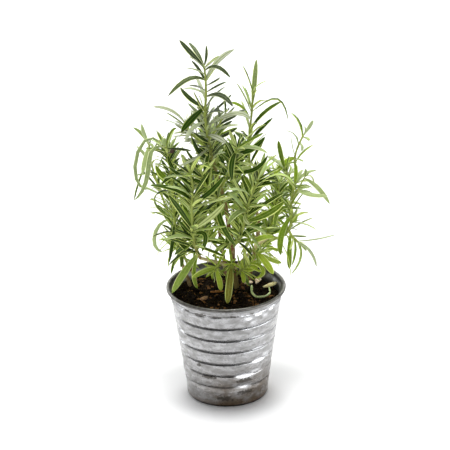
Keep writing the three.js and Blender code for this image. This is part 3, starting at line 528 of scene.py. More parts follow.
             (1, 3.4, 0.8, (-4, 0, 9), (-6, 0, 18)),
             (0.99, 4, 0.8, (-4, -2, -14), (-6, -4, -26)),
             (1, 2.6, 0.3, (2, -2, 0), (4, -3, -4)),
             (0.86, 2.6, 0.3, (-9, -3, -21), (-14, -4, -40)),
             (0.33, 3.6, 0.5, (-10, -2, -4), (-14, -4, -17), (-7, -4, -27)),
         ]),
    dict(name="shoot_rear", on=("wood_rear", 1), radii=(1.2, 0.7),
         route=[(-8, 44, 148), (-10, 45, 170), (-11, 45, 192), (-10, 44, 212)],
         pairs=(9, 0.08, 0.98, 26, 3.4, 42, 22),
         leaves=[]),
    dict(name="shoot_rear_left", on=("wood_rear", 0.667), radii=(1.1, 0.7),
         route=[(-12, 43, 119), (-22, 46, 136), (-28, 47, 154), (-30, 46, 172)],
         pairs=(7, 0.2, 0.98, 26, 3.4, 45, 20),
         leaves=[]),
    dict(name="shoot_rear_mid", on=("wood_back", 0.6), radii=(1.1, 0.7),
         route=[(21, 36, 134), (14, 43, 150), (9, 46, 168), (8, 46, 188)],
         pairs=(8, 0.2, 0.98, 26, 3.4, 42, 22),
         leaves=[]),
    dict(name="shoot_rear_right", on=("wood_back", 0.4), radii=(1.1, 0.7),
         route=[(31, 35, 118), (39, 40, 134), (44, 43, 152), (46, 44, 170)],
         pairs=(7, 0.2, 0.98, 26, 3.4, 45, 20),
         leaves=[]),
]

print("green stems:", len(shoots), "with", sum(len(row["leaves"]) for row in shoots), "leaf rows")

# %% Curves
def unit(vector):
    return vector / np.linalg.norm(vector)


def spline_point(points, t):
    """A point on the smooth curve through the points, for t from 0 to 1."""
    last = len(points) - 1
    place = min(max(t, 0), 1) * last
    span = min(int(place), last - 1)
    share = place - span
    before = points[span - 1] if span > 0 else 2 * points[0] - points[1]
    after = points[span + 2] if span + 2 <= last else 2 * points[last] - points[last - 1]
    start, end = points[span], points[span + 1]
    out, into = (end - before) / 2, (after - start) / 2
    return (start + out * share + (3 * (end - start) - 2 * out - into) * share ** 2
            + (2 * (start - end) + out + into) * share ** 3)


def spline_ahead(points, t):
    """The direction of that curve."""
    near = 0.0001
    return unit(spline_point(points, min(t + near, 1)) - spline_point(points, max(t - near, 0)))


def between(ends, t):
    return ends[0] + (ends[1] - ends[0]) * t


def crosswise(ahead):
    """The two directions across a stem: to the right and to the rear on an upright one."""
    side = unit(np.cross((0, 1, 0), ahead))
    return side, np.cross(ahead, side)


# %% Stems
# Solids that touch keep this gap.
gap = 0.3


def stem_start(row, carrier, bark):
    """Where a stem starts: on its carrier's axis, or clear of it where the kinds differ."""
    t = row["on"][1]
    axis = spline_point(carrier["points"], t)
    if carrier["bark"] == bark:
        return axis
    away = unit(np.array(row["route"][0]) - axis)
    lean = math.acos(np.clip(spline_ahead(carrier["points"], t) @ away, -1, 1))
    radius = row["radii"][0]
    if t == 1:
        return axis + away * (gap + radius * math.sin(lean)) / math.cos(lean)
    reach = between(carrier["radii"], t) + gap + radius * abs(math.cos(lean))
    return axis + away * reach / math.sin(lean)


stems = {}
for row in woods + shoots:
    bark = row["name"].startswith("wood")
    points = [np.array(point, float) for point in row["route"]]
    carrier = stems[row["on"][0]] if "on" in row else None
    if carrier:
        points.insert(0, stem_start(row, carrier, bark))
    fused = carrier is not None and carrier["bark"] == bark
    stems[row["name"]] = {**row, "points": points, "bark": bark, "carrier": carrier,
                          "node": carrier["node"] if fused else row["name"]}
greens = [stem for stem in stems.values() if not stem["bark"]]
print("stems:", len(stems), "of them green:", len(greens))

# %% What the leaves were grown with
# The direction to the viewer, and how far a leaf may have moved along the line of sight.
view_rise = 0.4115
viewer = np.array([0, -math.sqrt(1 - view_rise ** 2), view_rise])
sight_shifts = (0, -3, 3, -6, 6, -9, 9, -12, 12, 15)
tip_tolerance = 0.02
# The pairs: where the first one points and how much each leaf differs, in degrees, radians and
# shares, and how often a leaf in the way was tried again, a little shorter each time.
seed, attempts, attempt_loss = 2026, 8, 0.06
first_turn, turn_spread, around_spread, angle_spread, roll_spread = 35, 12, 14, 10, 0.5
bend_range, length_range, width_range = (0.2, 1.8), (0.75, 1.15), (0.8, 1.2)

tips = {}
for name in {stem["node"] for stem in greens}:
    corners = nodes[name].data.vertices
    tips[name] = KDTree(len(corners))
    for index, corner in enumerate(corners):
        tips[name].insert(corner.co / MM, index)
    tips[name].balance()
print("shoots whose leaf tips are known:", len(tips))


# %% Draws, and a leaf whose tip is known
def seeded(state):
    """The random draws that the solid model was grown with."""
    def draw(low, high):
        nonlocal state
        state = (state * 1664525 + 1013904223) % 4294967296
        return low + (high - low) * (state / 4294967296)
    return draw


def leaf_at(stem, at, ways, width, face, roll):
    """A leaf from its root to its tip, if the solid model has one with that tip."""
    root, ahead = spline_point(stem["points"], at), spline_ahead(stem["points"], at)
    if tips[stem["node"]].find(root + ways[-1])[2] > tip_tolerance:
        return None
    chord = unit(ways[-1])
    out = unit(chord - ahead * (chord @ ahead))
    up = unit(ahead - out) * (1 - face) + viewer * face
    up = unit(up - chord * (up @ chord))
    up = up * math.cos(roll) + np.cross(chord, up) * math.sin(roll)
    return {"stem": stem, "at": at, "points": [root] + [root + way for way in ways], "up": up,
            "width": width, "shown": face > 0}


def shown_leaf(stem, row):
    """A leaf that the photograph shows. It may have moved along the line of sight."""
    at, width, face, *ways = row
    for shift in sight_shifts:
        moved = [np.array(way) - viewer * shift * (i + 1) / len(ways) for i, way in enumerate(ways)]
        leaf = leaf_at(stem, at, moved, width, face, 0)
        if leaf:
            return leaf
    return None


# %% Leaf pairs
def leaf_ways(stem, at, around, angle, bend, length):
    """The ways from a leaf's root to its middle and its tip, and the direction it takes out."""
    ahead = spline_ahead(stem["points"], at)
    side, back = crosswise(ahead)
    out = side * math.cos(around) + back * math.sin(around)
    middle = length / 2 * (ahead * math.cos(angle) + out * math.sin(angle))
    tip = middle + length / 2 * (ahead * math.cos(angle + bend) + out * math.sin(angle + bend))
    return middle, tip, out


def pair_leaf(stem, at, turn, draw):
    """One leaf of a pair, with the solid model's draws and tries."""
    _, _, _, length, width, angle, bend = stem["pairs"]
    for attempt in range(attempts):
        around = math.radians(turn + draw(-around_spread, around_spread))
        lean = math.radians(angle + draw(-angle_spread, angle_spread))
        more = math.radians(bend * draw(*bend_range))
        shorter = length * draw(*length_range) * (1 - attempt_loss * attempt)
        roll = draw(-roll_spread, roll_spread)
        ways = leaf_ways(stem, at, around, lean, more, shorter)[:2]
        leaf = leaf_at(stem, at, ways, width * draw(*width_range), 0, roll)
        if leaf:
            return leaf
    return None


# %% Grow the solid model's leaves again
leaves = [shown_leaf(stem, row) for stem in greens for row in stem["leaves"]]
shown_count = sum(leaf is not None for leaf in leaves)
draw = seeded(seed)
for pair in range(max(stem["pairs"][0] for stem in greens)):
    for stem in greens:
        count, low, high = stem["pairs"][:3]
        if pair < count:
            at = low if count == 1 else low + (high - low) * pair / (count - 1)
            turn = first_turn + 90 * (count - pair) + draw(-turn_spread, turn_spread)
            leaves.append(pair_leaf(stem, at, turn, draw))
            leaves.append(pair_leaf(stem, at, turn + 180, draw))
leaves = [leaf for leaf in leaves if leaf]
print("leaves:", len(leaves), "of them placed by the photograph:", shown_count)

# %% [markdown]
# ## Leaves and green stems
# A rosemary leaf is a narrow leathery blade with a sunken line along its upper face. Its margins
# roll under, and the felted underside shows as two pale bands beside a green midrib. A flat
# strip with a thickness would lose that section, so each leaf is a bent tube: its upper half
# is arched with a groove, and its lower half has the rolled margins and the midrib. Two point
# attributes go with it: `blade` says where a point is across, along and under the leaf, and
# `tint` says how fresh, how grey and how light that leaf is, and how clear its margins are.
# The leaves that the picture shows get the finest of three straight leaves.

# %% Leaf section and outline
fine_stations = (0, 0.06, 0.16, 0.3, 0.46, 0.62, 0.76, 0.87, 0.95, 1)
plain_stations = (0, 0.14, 0.38, 0.66, 0.88, 1)
small_stations = (0, 0.16, 0.45, 0.76, 1)
arch, groove, margin, midrib, belly, tiny = 0.2, 0.13, 0.10, 0.08, 0.05, 1e-9
groove_width, margin_place, margin_width, edge_zone = 0.2, 0.8, 0.16, 0.05
foot_width, foot_length, foot_curve = 0.28, 0.4, 0.85
tip_end, tip_power, tip_curve = 1.005, 2.3, 0.65


def leaf_share(t, shoulder):
    """The share of its full width that a leaf has at t: a slim foot, long sides, and a tip that
    narrows from the shoulder on."""
    foot = foot_width + (1 - foot_width) * np.clip(t / foot_length, 0, 1) ** foot_curve
    narrowing = np.clip((t - shoulder) / (tip_end - shoulder), 0, 1) ** tip_power
    return foot * (1 - narrowing) ** tip_curve


def section_height(across, upper):
    """How high the skin is above the leaf's plane, as a share of the width."""
    line = np.exp(-(across / groove_width) ** 2)
    roll = np.exp(-((np.abs(across) - margin_place) / margin_width) ** 2)
    top = arch * (1 - across ** 2) - groove * line
    under = -(belly * np.sqrt(1 - across ** 2 + tiny) + margin * roll + midrib * line)
    return np.where(upper > edge_zone, top, np.where(upper < -edge_zone, under, -0.3 * margin))


# %% The curve of a leaf
def leaf_curve(points, t):
    """Places and directions along the curve through a leaf's three or four points."""
    t = t[:, None]
    if len(points) == 3:
        root, middle, tip = points
        pull = 2 * middle - (root + tip) / 2
        place = (1 - t) ** 2 * root + 2 * t * (1 - t) * pull + t ** 2 * tip
        ahead = 2 * (1 - t) * (pull - root) + 2 * t * (tip - pull)
    else:
        root, first, second, tip = points
        pull = 3 * first - 5 / 6 * root - 1.5 * second + tip / 3
        push = 3 * second - 5 / 6 * tip - 1.5 * first + root / 3
        place = ((1 - t) ** 3 * root + 3 * t * (1 - t) ** 2 * pull + 3 * t ** 2 * (1 - t) * push
                 + t ** 3 * tip)
        ahead = ((1 - t) ** 2 * (pull - root) + 2 * t * (1 - t) * (push - pull)
                 + t ** 2 * (tip - push))
    return place, ahead / np.linalg.norm(ahead, axis=1)[:, None]


# %% Straight leaves, and how they are bent
def unit_leaf(sides, stations):
    """The straight leaf that every leaf is bent from, and its corners."""
    bm = unit_tube(sides, stations)
    blade = bm.verts.layers.float_color.new("blade")
    bm.verts.layers.float_color.new("tint")
    for corner in bm.verts:
        under = 0 if corner.co.y > edge_zone else 1 if corner.co.y < -edge_zone else 0.5
        corner[blade] = (corner.co.x / 2 + 0.5, corner.co.z, under, 1)
    mesh = as_mesh(bm, "unit_leaf")
    return mesh, corners_of(mesh)


def bend_leaf(leaf, corners):
    """The corners of the straight leaf, carried to their places along the real one."""
    across, upper, along = corners.T
    place, ahead = leaf_curve(leaf["points"], along)
    share = leaf_share(along, leaf.get("shoulder", 0.6))[:, None]
    up = leaf["up"] - ahead * (ahead @ leaf["up"])[:, None]
    up /= np.linalg.norm(up, axis=1)[:, None]
    side = np.cross(up, ahead)
    half = leaf["width"] / 2
    height = leaf["width"] * section_height(across, upper)[:, None] * np.sqrt(share)
    return place + side * across[:, None] * half * share + up * height


fine_leaf = unit_leaf(12, fine_stations)
plain_leaf = unit_leaf(12, plain_stations)
small_leaf = unit_leaf(8, small_stations)
straight_leaves = (fine_leaf, plain_leaf, small_leaf)
print("faces of the three leaves:", [len(mesh.polygons) for mesh, corners in straight_leaves])

# %% [markdown]
# The picture shows more leaves than the solid model has room for. Between its pairs stand
# others, mostly on the far side, and in the axil of each leaf sits a tuft of young ones. They
# could be scattered at random, but then they would cut through the leaves that the picture
# shows. So space is kept as a set of small cubes: a new leaf is kept only where its cubes and
# the ones beside them are still empty.

# %% Room for more leaves
cube, leaf_stops, stem_stops = 1.3, 14, 60
pot_top, inner_room, soil_level = 99, 43, 92
room_low, room_high = np.array(cad_low) / MM + 0.5, np.array(cad_high) / MM - 0.5
taken = set()


def cubes(points, start):
    """The small cubes that a leaf's middle line runs through, past the start."""
    shares = np.linspace(start, 1, leaf_stops)
    return [tuple(spot) for spot in np.floor(leaf_curve(points, shares)[0] / cube).astype(int)]


def beside(spot):
    """A cube and the six that share a side with it."""
    x, y, z = spot
    return [spot, (x + 1, y, z), (x - 1, y, z), (x, y + 1, z), (x, y - 1, z), (x, y, z + 1),
            (x, y, z - 1)]


def is_clear(leaf, start):
    """Whether a leaf is inside the solid's box, off the pot and the soil, and free of others."""
    for point in leaf["points"][1:]:
        away, height = math.hypot(point[0], point[1]), point[2]
        if height < pot_top and away > inner_room or height < soil_level and away < inner_room:
            return False
        if (point <= room_low).any() or (point >= room_high).any():
            return False
    return not any(near in taken for spot in cubes(leaf["points"], start) for near in beside(spot))


for leaf in leaves:
    taken.update(cubes(leaf["points"], 0.1))
for stem in stems.values():
    for stop in range(stem_stops + 1):
        place = spline_point(stem["points"], stop / stem_stops)
        taken.add(tuple(np.floor(place / cube).astype(int)))
print("cubes taken by the solid model's leaves and stems:", len(taken))

# %% A leaf that leaves a stem at an angle
young = random.Random(7)
any_turn = (0, math.tau)


def some(ends):
    """A random number between two ends."""
    return young.uniform(*ends)


def grown_leaf(stem, at, around, angle, bend, length, width, roll=0):
    """A leaf at an angle to its stem, in degrees, that bends on and may be rolled."""
    angle, bend = math.radians(angle), math.radians(bend)
    root, ahead = spline_point(stem["points"], at), spline_ahead(stem["points"], at)
    middle, tip, out = leaf_ways(stem, at, around, angle, bend, length)
    up = unit(ahead * math.sin(angle) - out * math.cos(angle))
    up = up * math.cos(roll) + np.cross(out, ahead) * math.sin(roll)
    return {"stem": stem, "at": at, "points": [root, root + middle, root + tip], "up": up,
            "width": width, "young": True, "shown": False, "out": out}


def keep(leaf, start, kept, young_one):
    """Keeps a leaf if there is room for it past the start. Says whether there was."""
    if not is_clear(leaf, start):
        return False
    taken.update(cubes(leaf["points"], start))
    kept.append({**leaf, "young": young_one})
    return True


# %% More leaves between the pairs
# Some shoots stand open: a share of the usual leaves, up to a place along the stem.
open_shoots = {"shoot_top": (1, 0.48), "shoot_upper_right": (0.6, 0.7), "shoot_back": (0.2, 0.55),
               "shoot_right": (0.5, 0.6), "shoot_right_side": (0.2, 0.5), "shoot_far": (0.3, 0.6),
               "shoot_side": (1, 0.9), "shoot_right_droop": (0.3, 0.6)}
rows_per_pair, least_rows, rear_rows, tries = 9, 18, 6, 9
near_root, golden_turn = 0.3, 2.4
far_side, any_side, low_start = 0.25, -0.4, 0.35
more_turn, more_angle, more_bend, more_roll = (-0.5, 0.5), (-12, 25), (0, 2), 0.7
more_length, more_width, more_loss = (0.65, 1), (0.65, 0.95), 0.1

more_leaves = []
for stem in greens:
    count, low, high, length, width, angle, bend = stem["pairs"]
    rows = max(count * rows_per_pair, least_rows) * (rear_rows if "rear" in stem["name"] else 1)
    low = min(low, low_start)
    filled, top = open_shoots.get(stem["name"], (1, 1))
    side_limit = far_side if count > 2 else any_side
    for row in range(rows):
        at = low + (high - low) * (row + 0.5) / rows
        if at > top or young.random() > filled:
            continue
        for half_turn in (0, math.pi):
            for attempt in range(tries):
                around = row * golden_turn + half_turn + some(more_turn)
                leaf = grown_leaf(stem, at, around, angle + some(more_angle), bend * some(more_bend),
                                  length * some(more_length) * (1 - more_loss * attempt),
                                  width * some(more_width), young.gauss(0, more_roll))
                if leaf["out"][1] > side_limit and keep(leaf, near_root, more_leaves, False):
                    break
print("more leaves between the pairs:", len(more_leaves))

# %% Short leaves in front of the stems, and old ones that hang down
front_share, front_reach, near_front, rows_in_front = 0.6, 0.14, 0.45, 3
front_angle, front_bend, front_length, front_width = (30, 65), (0, 50), (6, 12), (1.8, 2.6)
hanging_tries, hanging_side, hanging_least = 22, -0.5, 20
hanging_place, hanging_angle, hanging_bend = (0.02, 0.34), (70, 135), (0, 35)
hanging_length, hanging_width = (0.7, 1.05), (0.8, 1.1)

for stem in greens:
    count, low, high = stem["pairs"][:3]
    filled, top = open_shoots.get(stem["name"], (1, 1))
    rows = count * rows_in_front
    for row in range(rows):
        at = low + (high - low) * (row + 0.5) / rows
        leaf = grown_leaf(stem, at, some(any_turn), some(front_angle), some(front_bend),
                          some(front_length), some(front_width), young.gauss(0, more_roll))
        in_front = leaf["out"][1] < 0 and young.random() < front_share * filled
        if in_front and at < top + front_reach:
            keep(leaf, near_front, more_leaves, True)

for stem in greens:
    length, width = stem["pairs"][3:5]
    for _ in range(hanging_tries if stem["carrier"]["bark"] else 0):
        leaf = grown_leaf(stem, some(hanging_place), some(any_turn), some(hanging_angle),
                          some(hanging_bend), max(length, hanging_least) * some(hanging_length),
                          width * some(hanging_width))
        if leaf["out"][1] > hanging_side:
            keep(leaf, near_root, more_leaves, False)
print("with short and hanging ones:", len(more_leaves))

# %% Young leaves in the axils and at the tips
tuft_count, near_axil, near_tip = 4, 0.5, 0.6
tuft_rise, tuft_turn, tuft_angle, tuft_bend = (0, 0.02), (-1, 1), (18, 45), (-15, 60)
tuft_length, tuft_width = (5, 12), (1.5, 2.4)
# A tip's innermost leaf: its angle, length and width, and how much more each next leaf has.
bud_first, bud_growth = np.array((8, 3.5, 1.1)), np.array((6, 0.9, 0.15))
bud_count, bud_step, bud_turn, bud_bend = 6, 0.01, (-0.3, 0.3), -8


def away_from(stem, leaf):
    """The angle about the stem at which a leaf leaves it."""
    side, back = crosswise(spline_ahead(stem["points"], leaf["at"]))
    way = leaf["points"][-1] - leaf["points"][0]
    return math.atan2(way @ back, way @ side)


young_leaves = []
for leaf in leaves:
    stem = leaf["stem"]
    top = open_shoots.get(stem["name"], (1, 1))[1]
    for _ in range(tuft_count if leaf["at"] < top else 0):
        place = min(leaf["at"] + some(tuft_rise), 1)
        sprout = grown_leaf(stem, place, away_from(stem, leaf) + some(tuft_turn), some(tuft_angle),
                            some(tuft_bend), some(tuft_length), some(tuft_width))
        keep(sprout, near_axil, young_leaves, True)
for stem in greens:
    for count in range(bud_count):
        opening, length, width = bud_first + bud_growth * count
        around = count * golden_turn + some(bud_turn)
        sprout = grown_leaf(stem, 1 - bud_step * count, around, opening, bud_bend, length, width)
        if is_clear(sprout, near_tip):
            young_leaves.append(sprout)
print("young leaves:", len(young_leaves))

# %% [markdown]
# A rosemary leaf's colours change with its age and with the light. The top shoot is grey-green, the
# low leaves are a fresh yellow-green, and the rest lies between. A random colour for each leaf would
# lose that, so every shoot has its own freshness and greyness, and each leaf differs from them a
# little. How light a shoot or a leaf is, is partly painted light: a painted glow that lifts the
# backlit rear shoots and the shaded low ones, and a painted sheen on pale leaves. The leaves that the
# picture shows have a letter for their look.

# %% Tints: how fresh, how grey and how much lighter each shoot is, the lightness a painted glow
tints = {
    "shoot_top": (0.1, 0.75, 0), "shoot_inner_right": (0.25, 0.15, 0.05),
    "shoot_mid_right": (0.3, 0.1, 0.1), "shoot_inner_left": (0.3, 0.1, 0.05),
    "shoot_front": (0.9, 0, 0.25), "shoot_trunk": (0.5, 0, 0.15), "shoot_low_left": (0.8, 0, 0.3),
    "shoot_low_right": (0.9, 0, 0.3), "shoot_low_mid": (0.85, 0, 0.3),
    "shoot_left": (0.25, 0.12, 0.05), "shoot_right": (0.4, 0.4, 0.35),
    "shoot_back": (0.4, 0.2, 0.1), "shoot_side": (0.2, 0.3, 0.1), "shoot_far": (0.3, 0.45, 0.2),
    "shoot_rear": (0.45, 0.2, 0.2), "shoot_rear_left": (0.4, 0.2, 0.15),
    "shoot_rear_mid": (0.5, 0.15, 0.2), "shoot_rear_right": (0.5, 0.35, 0.3),
}
print("shoots with a tint:", len(tints))

# %% Looks of the leaves that show
# A letter for each leaf in a shoot's row: d dark, g deep green, m middling, w weathered, f fresh, y
# yellowish, o old and going yellow, p pale with a painted sheen, u its underside.
looks = {
    "shoot_top": "mpmummddgpggmududupggugf", "shoot_left": "wfgmmupggdugm",
    "shoot_inner_right": "pgugmgu", "shoot_mid_right": "dfpwpmu", "shoot_upper_left": "umud",
    "shoot_back": "wwpmgfp", "shoot_right": "wpwpfwmgfggfg", "shoot_side": "wwmdddgfwgmm",
    "shoot_far": "pwwmp", "shoot_right_side": "wwum", "shoot_right_droop": "wwmggm",
    "shoot_right_inner": "g", "shoot_inner_left": "gg", "shoot_trunk": "dm", "shoot_front": "o",
    "shoot_low_left": "fyym", "shoot_low_right": "yffy", "shoot_low_mid": "ffmm",
}
# For each letter: lightness, partly a painted sheen, how much fresher, how much greyer, and how clear
# its pale margins are.
look_values = {"d": (-0.08, -0.1, -0.15, 0.9), "g": (-0.04, 0.15, -0.7, 0.6),
               "m": (0.14, 0.05, -0.1, 0.9), "w": (0.34, 0.05, 0.25, 0.8),
               "f": (0.24, 0.35, -0.5, 0.9), "y": (0.38, 0.4, -0.4, 0.9),
               "o": (0.7, 1.7, -1, 0.9), "p": (0.85, 0, 0.3, 0.6), "u": (0.5, 0, 0.2, 0.5)}
usual_looks, grey_looks = "ddddggggmmwffppuu", "dddmmwwpu"
young_looks, low_looks = "ddmmfffuu", "gmffyyy"
grey_shoot = 0.5
low_leaf_height = 125
foot_grey, grey_climb = 0.3, 1.6
spread_range, light_range, margin_range = (-0.15, 0.15), (-0.1, 0.1), (-0.3, 0.3)
tint_draw = random.Random(11)
print("leaves with a letter of their own:", sum(len(row) for row in looks.values()))


# %% A leaf's look and tint
def leaf_look(leaf):
    """The leaf's letter: from its shoot's row, or drawn."""
    rows = [row[:2] for row in leaf["stem"]["leaves"]]
    place = (leaf["at"], leaf["width"])
    letters = looks.get(leaf["stem"]["name"], "")
    if place in rows and rows.index(place) < len(letters):
        return letters[rows.index(place)]
    if leaf.get("young"):
        return tint_draw.choice(young_looks)
    if leaf["points"][-1][2] < low_leaf_height:
        return tint_draw.choice(low_looks)
    grey = tints[leaf["stem"]["node"]][1] > grey_shoot
    return tint_draw.choice(grey_looks if grey else usual_looks)


def leaf_tint(leaf, look):
    """How fresh, grey and light a leaf is and how clear its margins are. Its lightness is partly a
    painted sheen and a painted glow.
    """
    fresh, grey, lighter_painted_glow = tints[leaf["stem"]["node"]]
    grey *= min(foot_grey + leaf["at"] * grey_climb, 1)
    light, fresher, greyer, margins = look_values[look]
    spread = tint_draw.uniform(*spread_range)
    light += lighter_painted_glow + tint_draw.uniform(*light_range)
    margins += tint_draw.uniform(*margin_range)
    values = (fresh + fresher + spread, grey + greyer - spread, light, margins)
    return tuple(min(max(value, 0), most) for value, most in zip(values, (2, 1, 1, 1)))


# %% [markdown]
# ## The leaf's finish
# The upper face is dark, with a painted highlight along its groove and pale rolled margins, and the
# underside is pale felt on both sides of its green midrib. How light the upper face is, is partly a
# painted sheen. An image would carry that, but the `blade` attribute already says where each point of
# the leaf is, and `tint` how it is coloured.

# %% Leaf finish: the upper face
leaf_finish, leaf_shader = new_finish("rosemary_leaf", 0.4, specular=0.14)
across, along, under = attribute(leaf_shader, "blade")
fresh, grey, light = attribute(leaf_shader, "tint")
margins = add_node(leaf_shader, "Attribute", "Alpha", {"attribute_name": "tint"})
from_middle = calc(leaf_shader, "ABSOLUTE", calc(leaf_shader, "SUBTRACT", across, 0.5))
from_middle = times(leaf_shader, from_middle, 2)

mottle = grain(leaf_shader, 1.6, 4)
# The lightness picks between a dark and a light green; the light end is partly a painted sheen and a
# painted glow.
depth = calc(leaf_shader, "ADD", light, times(leaf_shader, mottle, 0.4))
depth = step(leaf_shader, depth, 0.2, 1.1)
green = mixed(leaf_shader, depth, paint(26, 54, 0), paint(160, 198, 50))
young_green = mixed(leaf_shader, depth, paint(58, 92, 0), paint(188, 210, 72))
grey_green = mixed(leaf_shader, depth, paint(58, 66, 46), paint(196, 200, 178))
yellowed = mixed(leaf_shader, mottle, paint(88, 92, 20), paint(156, 152, 62))
upper = mixed(leaf_shader, times(leaf_shader, fresh, 0.85), green, young_green)
upper = mixed(leaf_shader, step(leaf_shader, fresh, 1.4, 2), upper, yellowed)
upper = mixed(leaf_shader, times(leaf_shader, grey, 0.85), upper, grey_green)

pale = mixed(leaf_shader, grey, paint(236, 248, 144), paint(214, 218, 196))
# A painted highlight along the groove, and the pale rolled margins.
line = step(leaf_shader, from_middle, 0.04, 0.16, 0.18, 0)
edge = step(leaf_shader, from_middle, 0.7, 0.88)
foot = step(leaf_shader, along, 0, 0.14, 0.75, 0)
groove_highlight_and_margins = times(leaf_shader, calc(leaf_shader, "MAXIMUM", line, edge), margins)
upper = mixed(leaf_shader, calc(leaf_shader, "MAXIMUM", foot, groove_highlight_and_margins), upper, pale)
print("nodes for the upper face:", len(leaf_finish.node_tree.nodes))

# %% Leaf finish: the underside
felt = mixed(leaf_shader, grey, paint(218, 232, 132), paint(188, 192, 170))
rib = mixed(leaf_shader, fresh, paint(96, 118, 50), paint(134, 158, 50))
ribbed = step(leaf_shader, from_middle, 0.1, 0.22, 0.7, 0)
rolled = step(leaf_shader, from_middle, 0.72, 0.84, 0, 0.6)
lower = mixed(leaf_shader, calc(leaf_shader, "MAXIMUM", ribbed, rolled), felt, rib)
skin = mixed(leaf_shader, step(leaf_shader, under, 0.45, 0.8), upper, lower)
feed(leaf_shader, "Base Color", skin)
feed(leaf_shader, "Roughness", step(leaf_shader, under, 0.3, 0.7, 0.4, 0.8))
feed(leaf_shader, "Normal", relief(leaf_shader, grain(leaf_shader, 0.5, 2), 0.08, 0.5))
leaf_shader.inputs["Subsurface Weight"].default_value = 0.08
leaf_shader.inputs["Subsurface Radius"].default_value = (0.7, 1.0, 0.15)
leaf_shader.inputs["Subsurface Scale"].default_value = 0.0015
print("nodes for both faces:", len(leaf_finish.node_tree.nodes))

# %% Green stem finish
# On a stem, the second number of `tint` says how dried up it is.
stem_finish, stem_shader = new_finish("green_stem", 0.55, specular=0.35)
fresh, dried, _ = attribute(stem_shader, "tint")
streaks = grain(stem_shader, 0.8, 3, (1, 1, 0.15))
young_skin = mixed(stem_shader, streaks, paint(122, 138, 52), paint(182, 194, 100))
old_skin = mixed(stem_shader, streaks, paint(112, 82, 56), paint(176, 146, 104))
skin = mixed(stem_shader, fresh, old_skin, young_skin)
feed(stem_shader, "Base Color", mixed(stem_shader, dried, skin, paint(72, 52, 42)))
feed(stem_shader, "Normal", relief(stem_shader, streaks, 0.15, 0.6))
print("finishes for the shoots:", leaf_finish.name, stem_finish.name)

# %% [markdown]
# ## Growing the shoots
# A shoot's stem is square when it is young, swells at each pair of leaves and tapers upwards.
# It starts inside the wood that carries it, so that no joint shows. Stems and leaves of one
# shoot are one mesh with two finishes, because they stand for one solid body.

# %% Bend a stem
stem_sides, ring_length, least_rings = 10, 3.0, 6
swell_length, swell_height, squareness, blunt_tip, tip_length = 1.6, 0.22, 0.07, 0.55, 3


def stem_length(stem):
    points = stem["points"]
    return sum(np.linalg.norm(after - before) for before, after in zip(points, points[1:]))


def stem_route(stem):
    """Even stations along a stem, their places and the stem's direction there."""
    count = max(least_rings, round(stem_length(stem) / ring_length))
    shares = [i / count for i in range(count + 1)]
    places = [spline_point(stem["points"], t) for t in shares]
    return shares, places, [spline_ahead(stem["points"], t) for t in shares]


def bend_stem(corners, shares, places, aheads, shape):
    """The corners of a unit tube carried along a stem. `shape` gives the radius at a corner."""
    rings = np.rint(corners[:, 2] * (len(shares) - 1)).astype(int)
    moved = np.empty_like(corners)
    for i, (x, y, _) in enumerate(corners):
        ring = rings[i]
        side, back = crosswise(aheads[ring])
        radius = shape(shares[ring], math.atan2(y, x))
        moved[i] = places[ring] + (side * x + back * y) * radius
    return moved


# %% Stem sections
def green_radius(stem):
    """A squarish section, thicker where the leaves leave it."""
    places = sorted({round(leaf["at"], 3) for leaf in leaves if leaf["stem"] is stem})
    length = stem_length(stem)

    def radius(t, angle):
        swell = sum(math.exp(-((t - at) * length / swell_length) ** 2) for at in places)
        square = 1 + squareness * math.cos(4 * angle)
        end = min(1, blunt_tip + (1 - t) * length / tip_length)
        return between(stem["radii"], t) * square * end * (1 + swell_height * min(swell, 1))
    return radius


# %% Add a stem to a bmesh
def add_stem(bm, stem, radius, sides, finish, tint, root=None):
    """Adds a stem to a bmesh, with one more ring at its root if that is given."""
    shares, places, aheads = stem_route(stem)
    if root is not None:
        shares, places, aheads = [0] + shares, [root] + places, [aheads[0]] + aheads
    tube = unit_tube(sides, [i / (len(shares) - 1) for i in range(len(shares))])
    tube.verts.layers.float_color.new("blade")
    layer = tube.verts.layers.float_color.new("tint")
    for corner in tube.verts:
        corner[layer] = tint(corner.co.z)
    for face in tube.faces:
        face.material_index = finish
    mesh = as_mesh(tube, "tube")
    bm.from_mesh(mesh)
    return bend_stem(corners_of(mesh), shares, places, aheads, radius)


# %% The dried bud
# One shoot carries a dried flower bud, a wrinkled lump on a thin stalk.
dried_bud = {"node": "shoot_side", "points": [np.array(point, float) for point in (
    (-46.7, 4.8, 215.5), (-44.6, 2.2, 217.4), (-42.6, -0.2, 219.4), (-41.4, -1.6, 220.4))]}
stalk_radius, lump_radius, lump_start, lump_round = 0.45, 1.5, 0.4, 0.7
wrinkles, wrinkle_depth = 5, 0.15


def bud_radius(t, angle):
    """A thin stalk with a wrinkled lump at its end."""
    lump = math.sin(math.pi * rise(t, lump_start, 1)) ** lump_round
    return stalk_radius + lump_radius * lump * (1 + wrinkle_depth * math.cos(wrinkles * angle))


print("dried bud on:", dried_bud["node"])

# %% Parts of a shoot
old_stem_radius, old_foot, young_foot, greening = 1.35, 0.1, 0.7, 2.5
shown_leaves = [leaf for leaf in leaves if leaf["shown"]]
pair_leaves = [leaf for leaf in leaves if not leaf["shown"]]
leaf_kinds = ((shown_leaves, fine_leaf), (pair_leaves, plain_leaf), (more_leaves, plain_leaf),
              (young_leaves, small_leaf))
print("leaves of each kind:", [len(kind) for kind, _ in leaf_kinds])


def in_box(corners):
    """Holds corners inside the solid model's box."""
    margin = 0.01
    return np.clip(corners, np.array(cad_low) / MM + margin, np.array(cad_high) / MM - margin)


